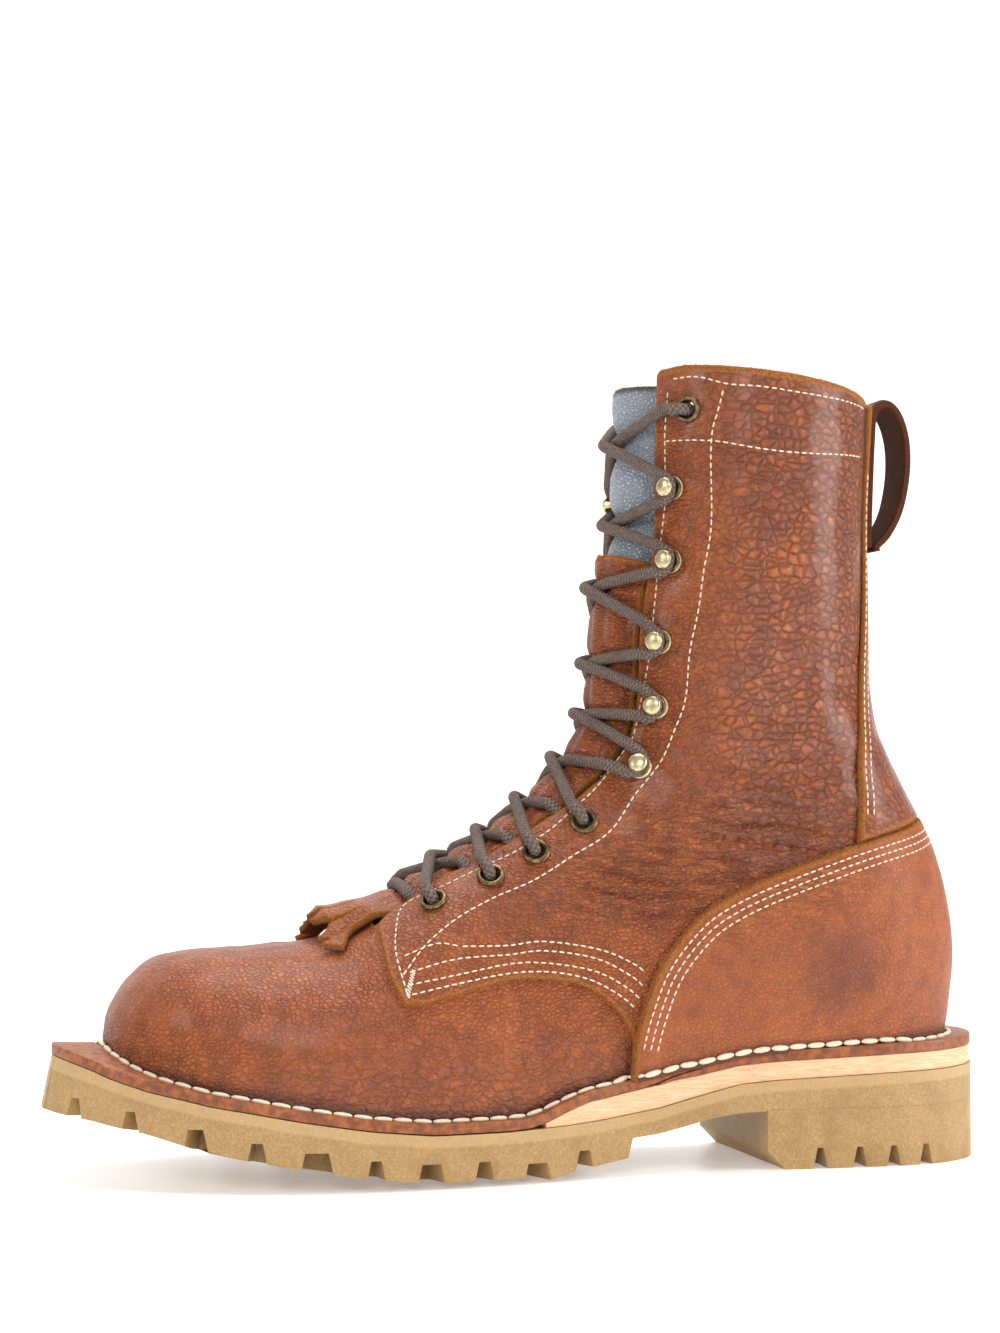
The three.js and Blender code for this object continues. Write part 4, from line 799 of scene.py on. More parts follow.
def make_counter():
    data, faces, edge = cut_panel(stations(9.6, 19.4), np.linspace(0.25, 1.75, 230), counter_edge)
    rise, marks = leather_marks(data, np.full(len(data), 0.05))
    rise = rise * 0.35 * smoothstep(edge, 0, 5)
    cut = inside_distance(data[:, [0, 2]], COUNTER_RING)
    return thicken("heel_counter", data, faces, OVER_QUARTER + COUNTER + rise, OVER_QUARTER,
                   np.maximum(cut, 0), counter_leather, 1.2, marks, 2.1)

def backstay_edge(data):
    strip = inside_distance(data[:, [0, 2]], BACKSTAY_RING)
    over = -inside_distance(data[:, [0, 2]] - [0, 0.6], COUNTER_RING)
    return np.minimum(np.minimum(strip, over), collar_room(data) - 1.4)

def make_backstay():
    data, faces, edge = cut_panel(stations(15.0, 24.4), np.linspace(0.62, 1.38, 130), backstay_edge)
    rise, marks = leather_marks(data, np.full(len(data), 0.85))
    return thicken("back_strip", data, faces, OVER_QUARTER + BACKSTAY + rise * smoothstep(edge, 0, 5),
                   OVER_QUARTER, edge, shaft_leather, 1.1, marks, 1.8)

# %% The five panels
vamp = make_vamp()
outer_quarter = make_quarter("outer_quarter", 1)
inner_quarter = make_quarter("inner_quarter", -1)
heel_counter = make_counter()
back_strip = make_backstay()
for made in (vamp, outer_quarter, inner_quarter):
    stands_for(made, "upper_leather", "upper")
stands_for(heel_counter, "counter_leather", "counter")
stands_for(back_strip, "upper_leather", "backstay")

# %% [markdown]
# The tongue is a soft strip of grey pebbled leather, sewn in under the vamp. Over
# it lies the kiltie, a false tongue whose front end is cut into a fringe. Both follow the
# ridge of the last; the kiltie sinks between the facings and bows up under the laces.

# %% Tongue and kiltie
COVER_START = ridge_section(0.722)
COVER_END = section_at_height(0.762 * COLLAR, 0)
TONGUE_START = ridge_section(0.640)
TONGUE_END = section_at_height(0.982 * COLLAR, 0)
COVER_HALF = COVER_WIDTH / 2
COVER_WAIST = THROAT_START - 0.6

def cover_face(t, mm):
    """Outer face of the kiltie above the last, by section and distance round."""
    share = (t - COVER_START) / (COVER_END - COVER_START)
    top = INSTEP * look_up(COVER_RISE, np.clip(share, 0, 1))
    bulge = 1 - np.minimum(np.abs(mm) / COVER_HALF, 1) ** 2
    on_vamp = COVER_ROOM + COVER
    sunk = smoothstep(t, THROAT_START - 0.1, THROAT_START + 0.4)
    side = on_vamp - (COVER_SINK + on_vamp) * sunk
    return side + (top - side) * bulge

def tongue_face(t, mm):
    """Outer face of the tongue, under the kiltie and under the facings."""
    under = -WALL - TONGUE_ROOM
    open_face = cover_face(t, mm) - COVER - COVER_ROOM
    beside = smoothstep(np.abs(mm), COVER_HALF * 0.7, COVER_HALF)
    ahead = 1 - smoothstep(t, THROAT_START + 0.15, THROAT_START + 0.9)
    return open_face + (under - open_face) * np.maximum(beside, ahead)

def sheet_length(start, end, face):
    """Length in mm of a sheet's middle line, measured on its outer face."""
    line = [on_last(t, 0.0, float(face(t, 0.0)))[0] for t in np.linspace(start, end, 60)]
    return float(run_along(line)[-1])

def mm_panel(ts, half, columns):
    """Like panel, from -half(t) to half(t) mm round the ridge."""
    lengths = {side: half_sections(ts, side)[1][:, -1] for side in (1, -1)}
    grid, round_mm = [], []
    for i, t in enumerate(ts):
        mm = np.linspace(-half(t), half(t), columns)
        grid.append(skin([t], np.where(mm >= 0, mm / lengths[1][i], mm / lengths[-1][i]))[0])
        round_mm.append(mm)
    grid, round_mm = np.array(grid), np.array(round_mm)
    normal = skin_normals(grid)
    tt = np.repeat(np.asarray(ts)[:, None], columns, axis=1)
    parts = [grid, normal, tt[..., None], round_mm[..., None]]
    data = np.concatenate(parts, axis=2).reshape(-1, 8)
    return data, turned_out(data, grid_faces(len(ts), columns))

SECTION_MM = 10.5  # mm counted for one section where the tongue's end is rounded

def tongue_edge(data):
    room = TONGUE_WIDTH / 2 - np.abs(data[:, 7])
    return rounded(room, (TONGUE_END - data[:, 6]) * SECTION_MM, 9.0)

def make_tongue():
    data, faces = mm_panel(stations(TONGUE_START, TONGUE_END, 1.6), lambda t: TONGUE_WIDTH / 2, 52)
    data, faces = trim(data, faces, tongue_edge(data))
    edge = np.maximum(tongue_edge(data), 0)
    face = tongue_face(data[:, 6], data[:, 7])
    soft = 0.5 * lumps(data[:, :3], 9.0, 21) + 0.35 * lumps(data[:, :3], 4.0, 5)
    marks = [("edge_raw", 1 - smoothstep(edge, 0.4, 2.4))]
    return thicken("tongue_strip", data, faces, face + soft * smoothstep(edge, 0, 5),
                   face - TONGUE, edge, tongue_leather, 1.3, marks)

FRINGE_STRIPS, FRINGE_LENGTH = 7, 17

def make_kiltie():
    wide = COVER_HALF * 1.55

    def half(t):
        narrowed = float(smoothstep(t, COVER_WAIST - 0.3, COVER_WAIST + 0.1))
        return wide + (COVER_HALF - wide) * narrowed

    ts = stations(COVER_START - 0.05, COVER_END, 1.1)
    data, faces = mm_panel(ts, half, 64)
    front = float(smooth_rows(ROWS, COVER_START)[0, 0])
    pitch = wide * 2 / FRINGE_STRIPS

    def edge_of(data):
        behind = front + 1.5 - data[:, 0]
        beside = np.array([half(t) for t in data[:, 6]]) - np.abs(data[:, 7])
        slot = (data[:, 7] / pitch + 0.5) % 1.0 - 0.5
        away = np.abs(np.abs(slot) - 0.5) * pitch
        notch = away - pitch * 0.5 * np.maximum(1 - behind / 7.5, 0)
        slit = np.where(behind < FRINGE_LENGTH, away - 0.3, 9.0)
        fringe = np.where(behind < 18, np.minimum(notch * 0.8, slit), 9.0)
        return np.minimum(np.minimum(beside, fringe), np.minimum(behind, (COVER_END - data[:, 6]) * 9))

    data, faces = trim(data, faces, edge_of(data))
    for ring in (0.3, 0.8):
        data, faces = trim(data, faces, edge_of(data) - ring, keep_both=True)
    edge = np.maximum(edge_of(data), 0)
    behind = front + 1.5 - data[:, 0]
    strip = np.floor(data[:, 7] / pitch + 0.5)
    bounce = np.sin(strip * 2.1 + 0.6) * 1.2 - 0.2
    lift = bounce * (1 - smoothstep(behind, 0, FRINGE_LENGTH))
    lift = lift - 0.9 * smoothstep(np.abs(data[:, 7]), 22, 29)
    folds = 0.55 * np.sin(data[:, 7] * 0.75 + data[:, 6] * 0.7) * smoothstep(behind, 20, 45)
    folds = folds + 0.45 * lumps(data[:, :3] * [1, 2.2, 0.5], 10.0, 31)
    face = cover_face(data[:, 6], data[:, 7])
    _, marks = leather_marks(data, np.full(len(data), 0.1))
    # painted shade: the kiltie is darkened in the troughs of its folds, and the ankle's wrinkles with
    # their painted shade are set to 0.4 on it
    marks[1] = ("crease_shade", np.clip(-folds * smoothstep(behind, 20, 45), 0, 1) * 0.8)
    marks[3] = ("ankle", np.full(len(data), 0.4))
    return thicken("kiltie_flap", data, faces, face + lift + folds, face + lift + folds * 0.6 - COVER,
                   edge, vamp_leather, 0.7, marks)

# %% The tongue's grey leather
tongue_finish = Finish("tongue_leather", Specular_IOR_Level=0.5)
tongue_place = tongue_finish.place()
tongue_cells = tongue_finish.cells(tongue_place, 0.75).step(0.0, 0.36)
# painted highlight: the pebble tops are a lighter grey than the tongue's own grey in the grooves
# between them
tongue_tone = tongue_finish.mix(tongue_cells, rgb(116, 123, 131), rgb(164, 171, 180))
tongue_raw = tongue_finish.attribute("edge_raw")
tongue_tone = tongue_finish.mix(tongue_raw, tongue_tone, rgb(52, 42, 36))
tongue_finish.set("Base Color", tongue_finish.mix(tongue_finish.attribute("lining"), tongue_tone,
                                                  rgb(158, 120, 84)))
tongue_finish.set("Roughness", 0.26 + tongue_raw * 0.6 + (1 - tongue_cells) * 0.1)
tongue_fluff = tongue_finish.noise(tongue_place, 2.2, 4.0)
tongue_finish.bump(tongue_cells * 0.9 + tongue_fluff * (tongue_raw * 2 + 0.1), 0.8, 0.5)
tongue_leather = tongue_finish.material

tongue = make_tongue()
kiltie = make_kiltie()
stands_for(tongue, "tongue_leather", "tongue")
stands_for(kiltie, "upper_leather", "kiltie")
print("tongue:", round(sheet_length(TONGUE_START, TONGUE_END, tongue_face)), "mm long")
print("kiltie:", round(sheet_length(COVER_START, COVER_END, cover_face)), "mm long")

# %% [markdown]
# The sole is cast honey rubber: a separate heel block, a deep-lugged outsole that rises
# at the toe, a pale midsole wedge and a stitched welt. The layers at the edge are bands
# swept round the outline. The outsole is a slab whose lugs are cut out with booleans,
# as a mould-maker would mill them. Their heights come from tables along the sole, so
# bands and slabs are written as points: moving each station by hand would take far longer.

# %% Sole
def outline_ring(inset=0.0, count=300):
    """The closed sole outline, evenly spaced and moved inwards."""
    rows = [(x * LENGTH, y * HALF_BALL) for x, y in OUTLINE]
    ring = smooth_rows(rows[-3:] + rows + rows[:4], np.linspace(3, 3 + len(rows), 1400)[:-1])
    closed = np.vstack([ring, ring[:1]])
    ring = at_runs(closed, np.linspace(0, run_along(closed)[-1], count, endpoint=False))
    along = np.roll(ring, -1, axis=0) - np.roll(ring, 1, axis=0)
    along /= np.linalg.norm(along, axis=1, keepdims=True)
    inward = np.stack([along[:, 1], -along[:, 0]], axis=1)
    return ring + inward * inset, inward

def set_back(s):
    """How far the toe's upper edge leans back from the tread's edge."""
    return 3.4 * smoothstep(s, 0.93 * LENGTH, LENGTH)

def band(name, finish, bottom, top, inset, reach, first=-9.0, last=999.0):
    """A closed strip along the outline between two height functions."""
    ring, inward = outline_ring(inset)
    kept = (ring[:, 0] >= first) & (ring[:, 0] <= last)
    start = int(np.argmax(kept & ~np.roll(kept, 1))) if not kept.all() else 0
    order = (np.arange(len(ring)) + start) % len(ring)
    order = order[: int(kept.sum())]
    shape = [(reach, 0, 1), (0.5, 0, 1), (0.14, -0.14, 1), (0, -0.5, 1), (0, 0.4, 0),
             (0.1, 0.1, 0), (0.4, 0, 0), (reach, 0, 0)]
    points = []
    for i in order:
        place = [ring[i] + inward[i] * across for across, _, _ in shape]
        for (x, y), (_, shift, high) in zip(place, shape):
            thick = max(float(top(ring[i, 0]) - bottom(ring[i, 0])), 0.2)
            level = top(ring[i, 0]) if high else top(ring[i, 0]) - thick
            points.append((x - float(set_back(x)), y, float(level) + shift * min(thick / 3, 1)))
    n, rows = len(shape), len(order)
    faces = []
    loops = rows if kept.all() else rows - 1
    for i in range(loops):
        for k in range(n):
            a, b = i * n + k, i * n + (k + 1) % n
            c, d = ((i + 1) % rows) * n + (k + 1) % n, ((i + 1) % rows) * n + k
            faces.append((a, b, c, d))
    if not kept.all():
        faces += [tuple(range(n))[::-1], tuple((rows - 1) * n + k for k in range(n))]
    made = to_object(name, points, faces, finish)
    tidy(made)
    return made

def tidy(made, angle=35):
    """Merges doubles, turns all faces outwards and smooths all but the sharp edges."""
    bpy.ops.object.select_all(action="DESELECT")
    bpy.context.view_layer.objects.active = made
    made.select_set(True)
    bpy.ops.object.mode_set(mode="EDIT")
    bpy.ops.mesh.select_all(action="SELECT")
    bpy.ops.mesh.remove_doubles(threshold=0.00001)
    bpy.ops.mesh.normals_make_consistent(inside=False)
    bpy.ops.object.mode_set(mode="OBJECT")
    bpy.ops.object.shade_smooth_by_angle(angle=math.radians(angle))
    made.select_set(False)

def edge_y(s, side):
    ring, _ = outline_ring(count=900)
    middle = (ring[:, 1].max() + ring[:, 1].min()) / 2
    half = ring[ring[:, 1] * side > middle * side]
    half = half[np.argsort(half[:, 0])]
    return float(np.interp(s, half[:, 0], half[:, 1]))

def slab(name, stops, bottom, top, finish, columns=9):
    """A solid under the whole outline, from stations along it."""
    upper, lower = [], []
    for s in stops:
        ys = np.linspace(edge_y(s, -1), edge_y(s, 1), columns)
        upper += [(s - float(set_back(s)), y, float(top(s))) for y in ys]
        lower += [(s, y, float(bottom(s, y))) for y in ys]
    grid = grid_quads(len(stops), columns)
    count = len(upper)
    faces = grid + [tuple(v + count for v in f[::-1]) for f in grid]
    rim = [i * columns for i in range(len(stops))]
    rim += [(len(stops) - 1) * columns + k for k in range(1, columns)]
    rim += [i * columns + columns - 1 for i in range(len(stops) - 2, -1, -1)]
    rim += list(range(columns - 2, 0, -1))
    faces += [(a, b, b + count, a + count) for a, b in zip(rim, rim[1:] + rim[:1])]
    made = to_object(name, upper + lower, faces, finish)
    tidy(made)
    return made

def grid_quads(rows, columns):
    return [(i * columns + k, i * columns + k + 1, (i + 1) * columns + k + 1, (i + 1) * columns + k)
            for i in range(rows - 1) for k in range(columns - 1)]

def cutter(s, side, width, length, floor, height):
    """Corners of one tapered groove that runs in from the edge."""
    ring, inward = outline_ring(count=900)
    middle = (ring[:, 1].max() + ring[:, 1].min()) / 2
    near = np.where(ring[:, 1] * side > middle * side, np.abs(ring[:, 0] - s), 1e9)
    i = int(np.argmin(near))
    toward = inward[i]
    across = np.array([-toward[1], toward[0]])
    corners = []
    for run in (-6, length):
        for share, level in ((-1, -3), (1, -3), (1, height), (-1, height)):
            half = width / 2 + (1.05 if level < 0 else -0.175 * height)
            place = ring[i] + toward * run + across * share * half
            corners.append((*place, floor + level))
    return corners

BOX_FACES = [(0, 1, 2, 3), (7, 6, 5, 4), (0, 4, 5, 1), (1, 5, 6, 2), (2, 6, 7, 3), (3, 7, 4, 0)]

def cut_away(body, boxes, finish):
    points = [p for box in boxes for p in box]
    faces = [tuple(v + 8 * i for v in f) for i in range(len(boxes)) for f in BOX_FACES]
    tool = to_object("groove_tool", points, faces, finish)
    tidy(tool)
    change = body.modifiers.new("grooves", "BOOLEAN")
    change.operation, change.solver, change.object = "DIFFERENCE", "EXACT", tool
    round_off = body.modifiers.new("soft_edges", "BEVEL")
    round_off.width, round_off.segments, round_off.limit_method = 0.0004, 2, "ANGLE"
    round_off.angle_limit = math.radians(40)
    bpy.context.view_layer.objects.active = body
    body.select_set(True)
    bpy.ops.object.modifier_apply(modifier=change.name)
    bpy.ops.object.modifier_apply(modifier=round_off.name)
    bpy.data.objects.remove(tool, do_unlink=True)
    bpy.ops.object.shade_smooth_by_angle(angle=math.radians(35))
    body.select_set(False)

# %% Rubber
rubber = Finish("gum_rubber", Roughness=0.5, Specular_IOR_Level=0.4)
rubber_place = rubber.place()
speck = rubber.noise(rubber_place, 1.3, 4.0, 0.7)
dirt = rubber.noise(rubber_place, 0.09, 4.0, 0.65)
rubber_tone = rubber.mix(speck.step(0.40, 0.70), rgb(160, 126, 78), rgb(184, 153, 102))
rubber_tone = rubber.mix(dirt.step(0.42, 0.70) * 0.4, rubber_tone, rgb(134, 100, 60))
strip_share = 1 - rubber.attribute("below_top").step(3.2, 4.2)
rubber_tone = rubber.mix(strip_share * 0.45, rubber_tone, rgb(196, 164, 116))
rubber.set("Base Color", rubber_tone)
rubber.bump(speck * 0.5 + dirt * 0.5 + rubber.attribute("below_top").step(3.3, 4.1) * 0.5, 0.5, 0.4)

# %% Outsole
def crowned(s, y):
    """The forefoot's tread stands a little off the floor at its edges."""
    share = np.clip((abs(y) / HALF_BALL - 0.36) / 0.45, 0, 1)
    fore = np.clip((s / LENGTH - 0.515) / 0.02, 0, 1)
    base = HEEL_BLOCK + GAP if s < HEEL_LENGTH + GAP else float(underside(s))
    return base + TREAD_CROWN * fore * share ** 2

def even_stops(first, last, extra=()):
    middle, half = (first + last) / 2, (last - first) / 2
    count = int((last - first) / 2.4)
    stops = [middle - half * math.cos(math.pi * k / count) for k in range(count + 1)]
    stops = [s for s in stops if all(abs(s - e) > 0.8 for e in extra)]
    return sorted([*stops, *extra])

breaks = [HEEL_LENGTH + GAP - 0.05, HEEL_LENGTH + GAP + 0.05] + [x * LENGTH for x, _ in SHANK[2:]]
outsole = slab("rubber_outsole", even_stops(0.4, LENGTH - 0.4, breaks), crowned, rubber_top,
               rubber.material)
LUG_GAP, LUG_LENGTH, LUG_HEIGHT = 6.0, 19, 6
grooves = []
for x, width in LUG_GROOVES:
    for side in (1, -1):
        floor_z = crowned(x * LENGTH, edge_y(x * LENGTH, side))
        grooves.append(cutter(x * LENGTH, side, width * LUG_GAP, LUG_LENGTH, floor_z,
                              LUG_HEIGHT))
cut_away(outsole, grooves, rubber.material)

# %% Heel
SLOPE_START = HEEL_LENGTH - 6.2

def heel_bottom(s, y):
    """The heel's tread: flat, then sloping up to its front edge."""
    return max(0.0, s - SLOPE_START)

heel = slab("rubber_heel", even_stops(0.4, HEEL_LENGTH - 0.01, [SLOPE_START]), heel_bottom,
            lambda s: HEEL_BLOCK + GAP - 0.05, rubber.material)
HEEL_GAP, HEEL_LUG_LENGTH, HEEL_LUG_HEIGHT = 4.5, 13, 7
heel_cuts = []
for x in HEEL_GROOVES:
    for side in (1, -1):
        heel_cuts.append(cutter(x * HEEL_LENGTH, side, HEEL_GAP, HEEL_LUG_LENGTH, 0,
                                HEEL_LUG_HEIGHT))
cut_away(heel, heel_cuts, rubber.material)
for made, top_of in ((outsole, rubber_top), (heel, lambda s: HEEL_BLOCK + 30)):
    layer = made.data.attributes.new("below_top", "FLOAT", "POINT")
    for vertex, value in zip(made.data.vertices, layer.data):
        s, y, z = Vector(vertex.co) / MM - Vector(BOOT_ORIGIN)
        value.value = float(top_of(s)) - z

# %% Midsole and welt
stack = Finish("sole_leather_stack", Roughness=0.62)
stack_place = stack.place((0.05, 0.05, 1.0))
lines = stack.noise(stack_place, 3.0, 3.0, 0.6)
fleck = stack.noise(stack.place(), 1.6, 4.0, 0.7)
stack_tone = stack.mix(lines.step(0.3, 0.7), rgb(198, 150, 108), rgb(246, 208, 170))
stack.set("Base Color", stack.mix(fleck.step(0.35, 0.7), stack_tone, rgb(228, 184, 142)))
stack.bump(lines + fleck * 0.4, 0.6, 0.35)

edge_finish = Finish("welt_edge", Roughness=0.48)
edge_place = edge_finish.place()
edge_noise = edge_finish.noise(edge_place, 0.35, 5.0, 0.65)
edge_fine = edge_finish.noise(edge_finish.place((0.2, 0.2, 1.4)), 1.8, 3.0, 0.6)
edge_tone = edge_finish.mix(edge_noise.step(0.35, 0.7), rgb(112, 56, 24), rgb(162, 90, 40))
edge_finish.set("Base Color", edge_tone)
edge_finish.bump(edge_noise * 0.6 + edge_fine * 0.5, 0.6, 0.35)

SCARF = 24
SCARF_BACK = 0.410 * LENGTH - SCARF

def welt_bottom(s):
    """The welt's underside, which thins to a tip over the scarf."""
    full, thin = midsole_top(s) + 0.1, seat(s) - 1
    return thin + (full - thin) * np.clip((s - SCARF_BACK) / SCARF, 0, 1)

def rand_top(s):
    return seat(s) if s < SCARF_BACK - GAP else welt_bottom(s) - GAP

midsole = band("pale_midsole", stack.material, lambda s: rubber_top(s) + 0.1, midsole_top, 0.6, 16,
               last=0.515 * LENGTH)
welt = band("stitched_welt", edge_finish.material, welt_bottom, seat, 0.2, 17, first=SCARF_BACK)
heel_rand = band("rand_strip", edge_finish.material, lambda s: midsole_top(s) + 0.1, rand_top, 0.2, 17,
                 last=SCARF_BACK + SCARF * 0.7)
stands_for(outsole, "sole_rubber", "outsole")
stands_for(heel, "sole_rubber", "heel")
stands_for(midsole, "sole_leather", "midsole")
stands_for(welt, "welt_leather", "welt")
stands_for(heel_rand, "welt_leather", "heel_rand")

# %% [markdown]
# The pull loop at the back is a folded strap, sewn to the back strip at both ends. Its
# path is drawn once in the side view, and a strap section is swept along it.

# %% Pull loop
def back_face(z):
    """Where the back strip's face stands at a height."""
    shaft = np.linspace(14, LAST_ROW, 300)
    t = np.interp(z, smooth_rows(ROWS, shaft)[:, 3], shaft)
    point = smooth_rows(ROWS, t)[0]
    return point[2] - (OVER_QUARTER + BACKSTAY + GAP)

LOOP_TOP, LOOP_DROP, LOOP_STRAP, LOOP_WIDTH = COLLAR * 0.967 + 3.2, 54.0, 3.0, 19.0
LOOP_PATH = [
    (-1.7, 0.025), (-1.7, 0.20), (-1.7, 0.45), (-1.7, 0.70), (-1.9, 0.88), (-4.2, 0.965),
    (-8.6, 0.955), (-12.4, 0.86), (-15.0, 0.70), (-15.4, 0.50), (-13.4, 0.28), (-9.2, 0.12),
    (-4.9, 0.035), (-4.9, 0.00),
]

def sweep_strap(name, route, width, thick, finish, columns=13):
    """A flat strap of the given width (across the boot) along a side-view route."""
    along = directions(route)
    off = np.stack([-along[:, 1], along[:, 0]], axis=1)
    shape = []
    for k in range(columns):
        y = -width / 2 + width * k / (columns - 1)
        shape.append((y, thick / 2 - (0.6 if k in (0, columns - 1) else 0)))
    shape += [(y, -h) for y, h in reversed(shape)]
    points, raw, faces = [], [], []
    for place, side in zip(route, off):
        for y, h in shape:
            x, z = place + side * h
            points.append((x, y, z))
            raw.append(1.0 if abs(y) > width / 2 - 0.3 or h > 0 else 0.35)
    n = len(shape)
    for i in range(len(route) - 1):
        for k in range(n):
            faces.append((i * n + k, i * n + (k + 1) % n, (i + 1) * n + (k + 1) % n, (i + 1) * n + k))
    faces += [tuple(range(n))[::-1], tuple((len(route) - 1) * n + k for k in range(n))]
    full = np.zeros(len(points))
    made = to_object(name, points, faces, finish,
                     [("raw", raw), ("coarse", full + 0.5), ("crease_shade", full), ("feather", full),
                      ("ankle", full), ("lining", full), ("bruise", full)])
    tidy(made, 60)
    return made

path = []
for dx, share in curve(LOOP_PATH, 6):
    z = LOOP_TOP - LOOP_DROP + LOOP_DROP * share
    path.append((back_face(z) + dx, z - 0.2))
pull_loop = sweep_strap("pull_strap", np.array(path), LOOP_WIDTH, LOOP_STRAP, loop_leather)
stands_for(pull_loop, "upper_leather", "pull_loop")
print("pull strap:", round(float(run_along(path)[-1])), "mm long")

# %% [markdown]
# The lower four eyelets and the top one are brass rings set through the facing. Between
# them stand speed hooks: a dark ring riveted to the leather, and a domed stud on a neck.
# Each is modelled once from primitives and copied to its places on the facing.

# %% Eyelets and hooks
def brass_finish(name, light, dark, roughness):
    brass = Finish(name, Metallic=1.0)
    place = brass.place()
    tarnish = brass.noise(place, 0.55, 5.0, 0.65)
    brass.set("Base Color", brass.mix(tarnish.step(0.38, 0.66), light, dark))
    brass.set("Roughness", roughness + tarnish * 0.25)
    brass.bump(brass.noise(place, 2.5, 3.0), 0.15, 0.08)
    return brass.material

bright_brass = brass_finish("bright_brass", rgb(208, 196, 158), rgb(170, 152, 112), 0.24)
antique_brass = brass_finish("antique_brass", rgb(128, 108, 74), rgb(74, 58, 38), 0.24)

# %% One ring and one stud
def shape_ring(name, radius, thick, flat, barrel, finish):
    """A torus pressed flat, with its lower inner edge drawn down into a barrel."""
    bpy.ops.mesh.primitive_torus_add(major_segments=40, minor_segments=14,
                                     major_radius=radius * MM, minor_radius=thick * MM)
    ring = bpy.context.object
    ring.name = name
    bpy.ops.object.mode_set(mode="EDIT")
    bpy.ops.mesh.select_all(action="SELECT")
    bpy.ops.transform.resize(value=(1, 1, flat), center_override=(0, 0, 0))
    shell = bmesh.from_edit_mesh(ring.data)
    for vertex in shell.verts:
        inner = vertex.co.xy.length < (radius - thick * 0.35) * MM
        vertex.select_set(inner and vertex.co.z < -thick * flat * 0.3 * MM)
    shell.select_flush(True)
    bmesh.update_edit_mesh(ring.data)
    bpy.ops.transform.translate(value=(0, 0, -barrel * MM))
    bpy.ops.object.mode_set(mode="OBJECT")
    ring.data.materials.append(finish)
    bpy.ops.object.shade_smooth()
    return ring

def shape_stud(name):
    """The hook's neck and domed head, standing at the throat side of its ring."""
    bpy.ops.mesh.primitive_uv_sphere_add(segments=32, ring_count=16, radius=3.1 * MM)
    head = bpy.context.object
    bpy.ops.object.mode_set(mode="EDIT")
    bpy.ops.mesh.select_all(action="SELECT")
    bpy.ops.transform.resize(value=(1.0, 1.06, 0.40), center_override=(0, 0, 0))
    bpy.ops.transform.translate(value=(0.3 * MM, 0, 6.4 * MM))
    bpy.ops.object.mode_set(mode="OBJECT")
    bpy.ops.mesh.primitive_cube_add(size=1.0 * MM)
    neck = bpy.context.object
    bpy.ops.object.mode_set(mode="EDIT")
    bpy.ops.mesh.select_all(action="SELECT")
    bpy.ops.transform.resize(value=(1.2, 2.6, 6.0), center_override=(0, 0, 0))
    bpy.ops.transform.translate(value=(-2.4 * MM, 0, 3.6 * MM))
    bpy.ops.mesh.bevel(offset=0.4 * MM, segments=2)
    bpy.ops.mesh.primitive_cylinder_add(vertices=32, radius=4.1 * MM, depth=0.9 * MM,
                                        location=(0, 0, 0.75 * MM))
    bpy.ops.mesh.bevel(offset=0.25 * MM, segments=2)
    bpy.ops.object.mode_set(mode="OBJECT")
    head.select_set(True)
    neck.select_set(True)
    bpy.context.view_layer.objects.active = head
    bpy.ops.object.join()
    head.name = name
    head.data.materials.append(bright_brass)
    bpy.ops.object.shade_smooth_by_angle(angle=math.radians(50))
    return head

def copy_to(source, name, place, axes):
    """A copy of a finished shape, its points set at a place on the leather."""
    made = bpy.data.objects.new(name, source.data.copy())
    turn = Matrix([[*(axes[k][i] for k in range(3)), 0] for i in range(3)] + [[0, 0, 0, 1]])
    shift = Matrix.Translation((Vector(place) + Vector(BOOT_ORIGIN)) * MM)
    made.data.transform(shift @ turn)
    bpy.context.scene.collection.objects.link(made)
    return made

# %% Hardware in its places
eyelets = {side: level_places(EYELET_LEVELS, side) for side in (1, -1)}
hooks = {side: level_places(HOOK_LEVELS, side) for side in (1, -1)}
ring = shape_ring("ring", 3.75, 0.92, 0.8, 2.6, antique_brass)
dark_ring = shape_ring("dark_ring", 2.75, 1.1, 0.6, 2.4, antique_brass)
stud = shape_stud("stud")
for side, letter in ((1, "l"), (-1, "m")):
    for i, (_, _, point, axes) in enumerate(eyelets[side]):
        made = copy_to(ring, f"brass_eyelet_{letter}{i + 1}", point + axes[2] * 0.55, axes)
        stands_for(made, "brass", f"eyelet_{letter}{i + 1}")
    for i, (_, _, point, axes) in enumerate(hooks[side]):
        made = copy_to(stud, f"brass_hook_{letter}{i + 1}", point, axes)
        rivet = copy_to(dark_ring, "rivet", point + axes[2] * 1.15 - axes[0] * 0.3, axes)
        bpy.ops.object.select_all(action="DESELECT")
        made.select_set(True)
        rivet.select_set(True)
        bpy.context.view_layer.objects.active = made
        bpy.ops.object.join()
        stands_for(made, "brass", f"hook_{letter}{i + 1}")
for spare in (ring, dark_ring, stud):
    bpy.data.objects.remove(spare, do_unlink=True)
print("hardware:", 2 * (len(EYELET_LEVELS) + len(HOOK_LEVELS)), "pieces")

# %% [markdown]
# The lace is a round braided cord. It starts as a bar under the lowest eyelets, comes up
# through each eyelet, crosses the tongue, dives under the other facing, and wraps round
# the hooks' necks above. A fine diagonal braid is drawn with the tube's own UV map.

# %% Laces
LACE_RADIUS = LACE / 2

def lace_face(t, mm):
    """How far the cord's middle lies outside the last, over kiltie and facing."""
    a = abs(mm)
    share = (t - COVER_START) / (COVER_END - COVER_START)
    facing = QUARTER_STEP + GAP + LACE_RADIUS
    sunk = (COVER + COVER_ROOM) * float(smoothstep(share, 0.99, 1.04))
    open_face = float(cover_face(t, mm)) - sunk + LACE_RADIUS - 2.0
    beside = float(smoothstep(a, COVER_HALF * 0.7, THROAT_HALF + 1))
    return open_face * (1 - beside) + max(facing, open_face * (a < THROAT_HALF)) * beside

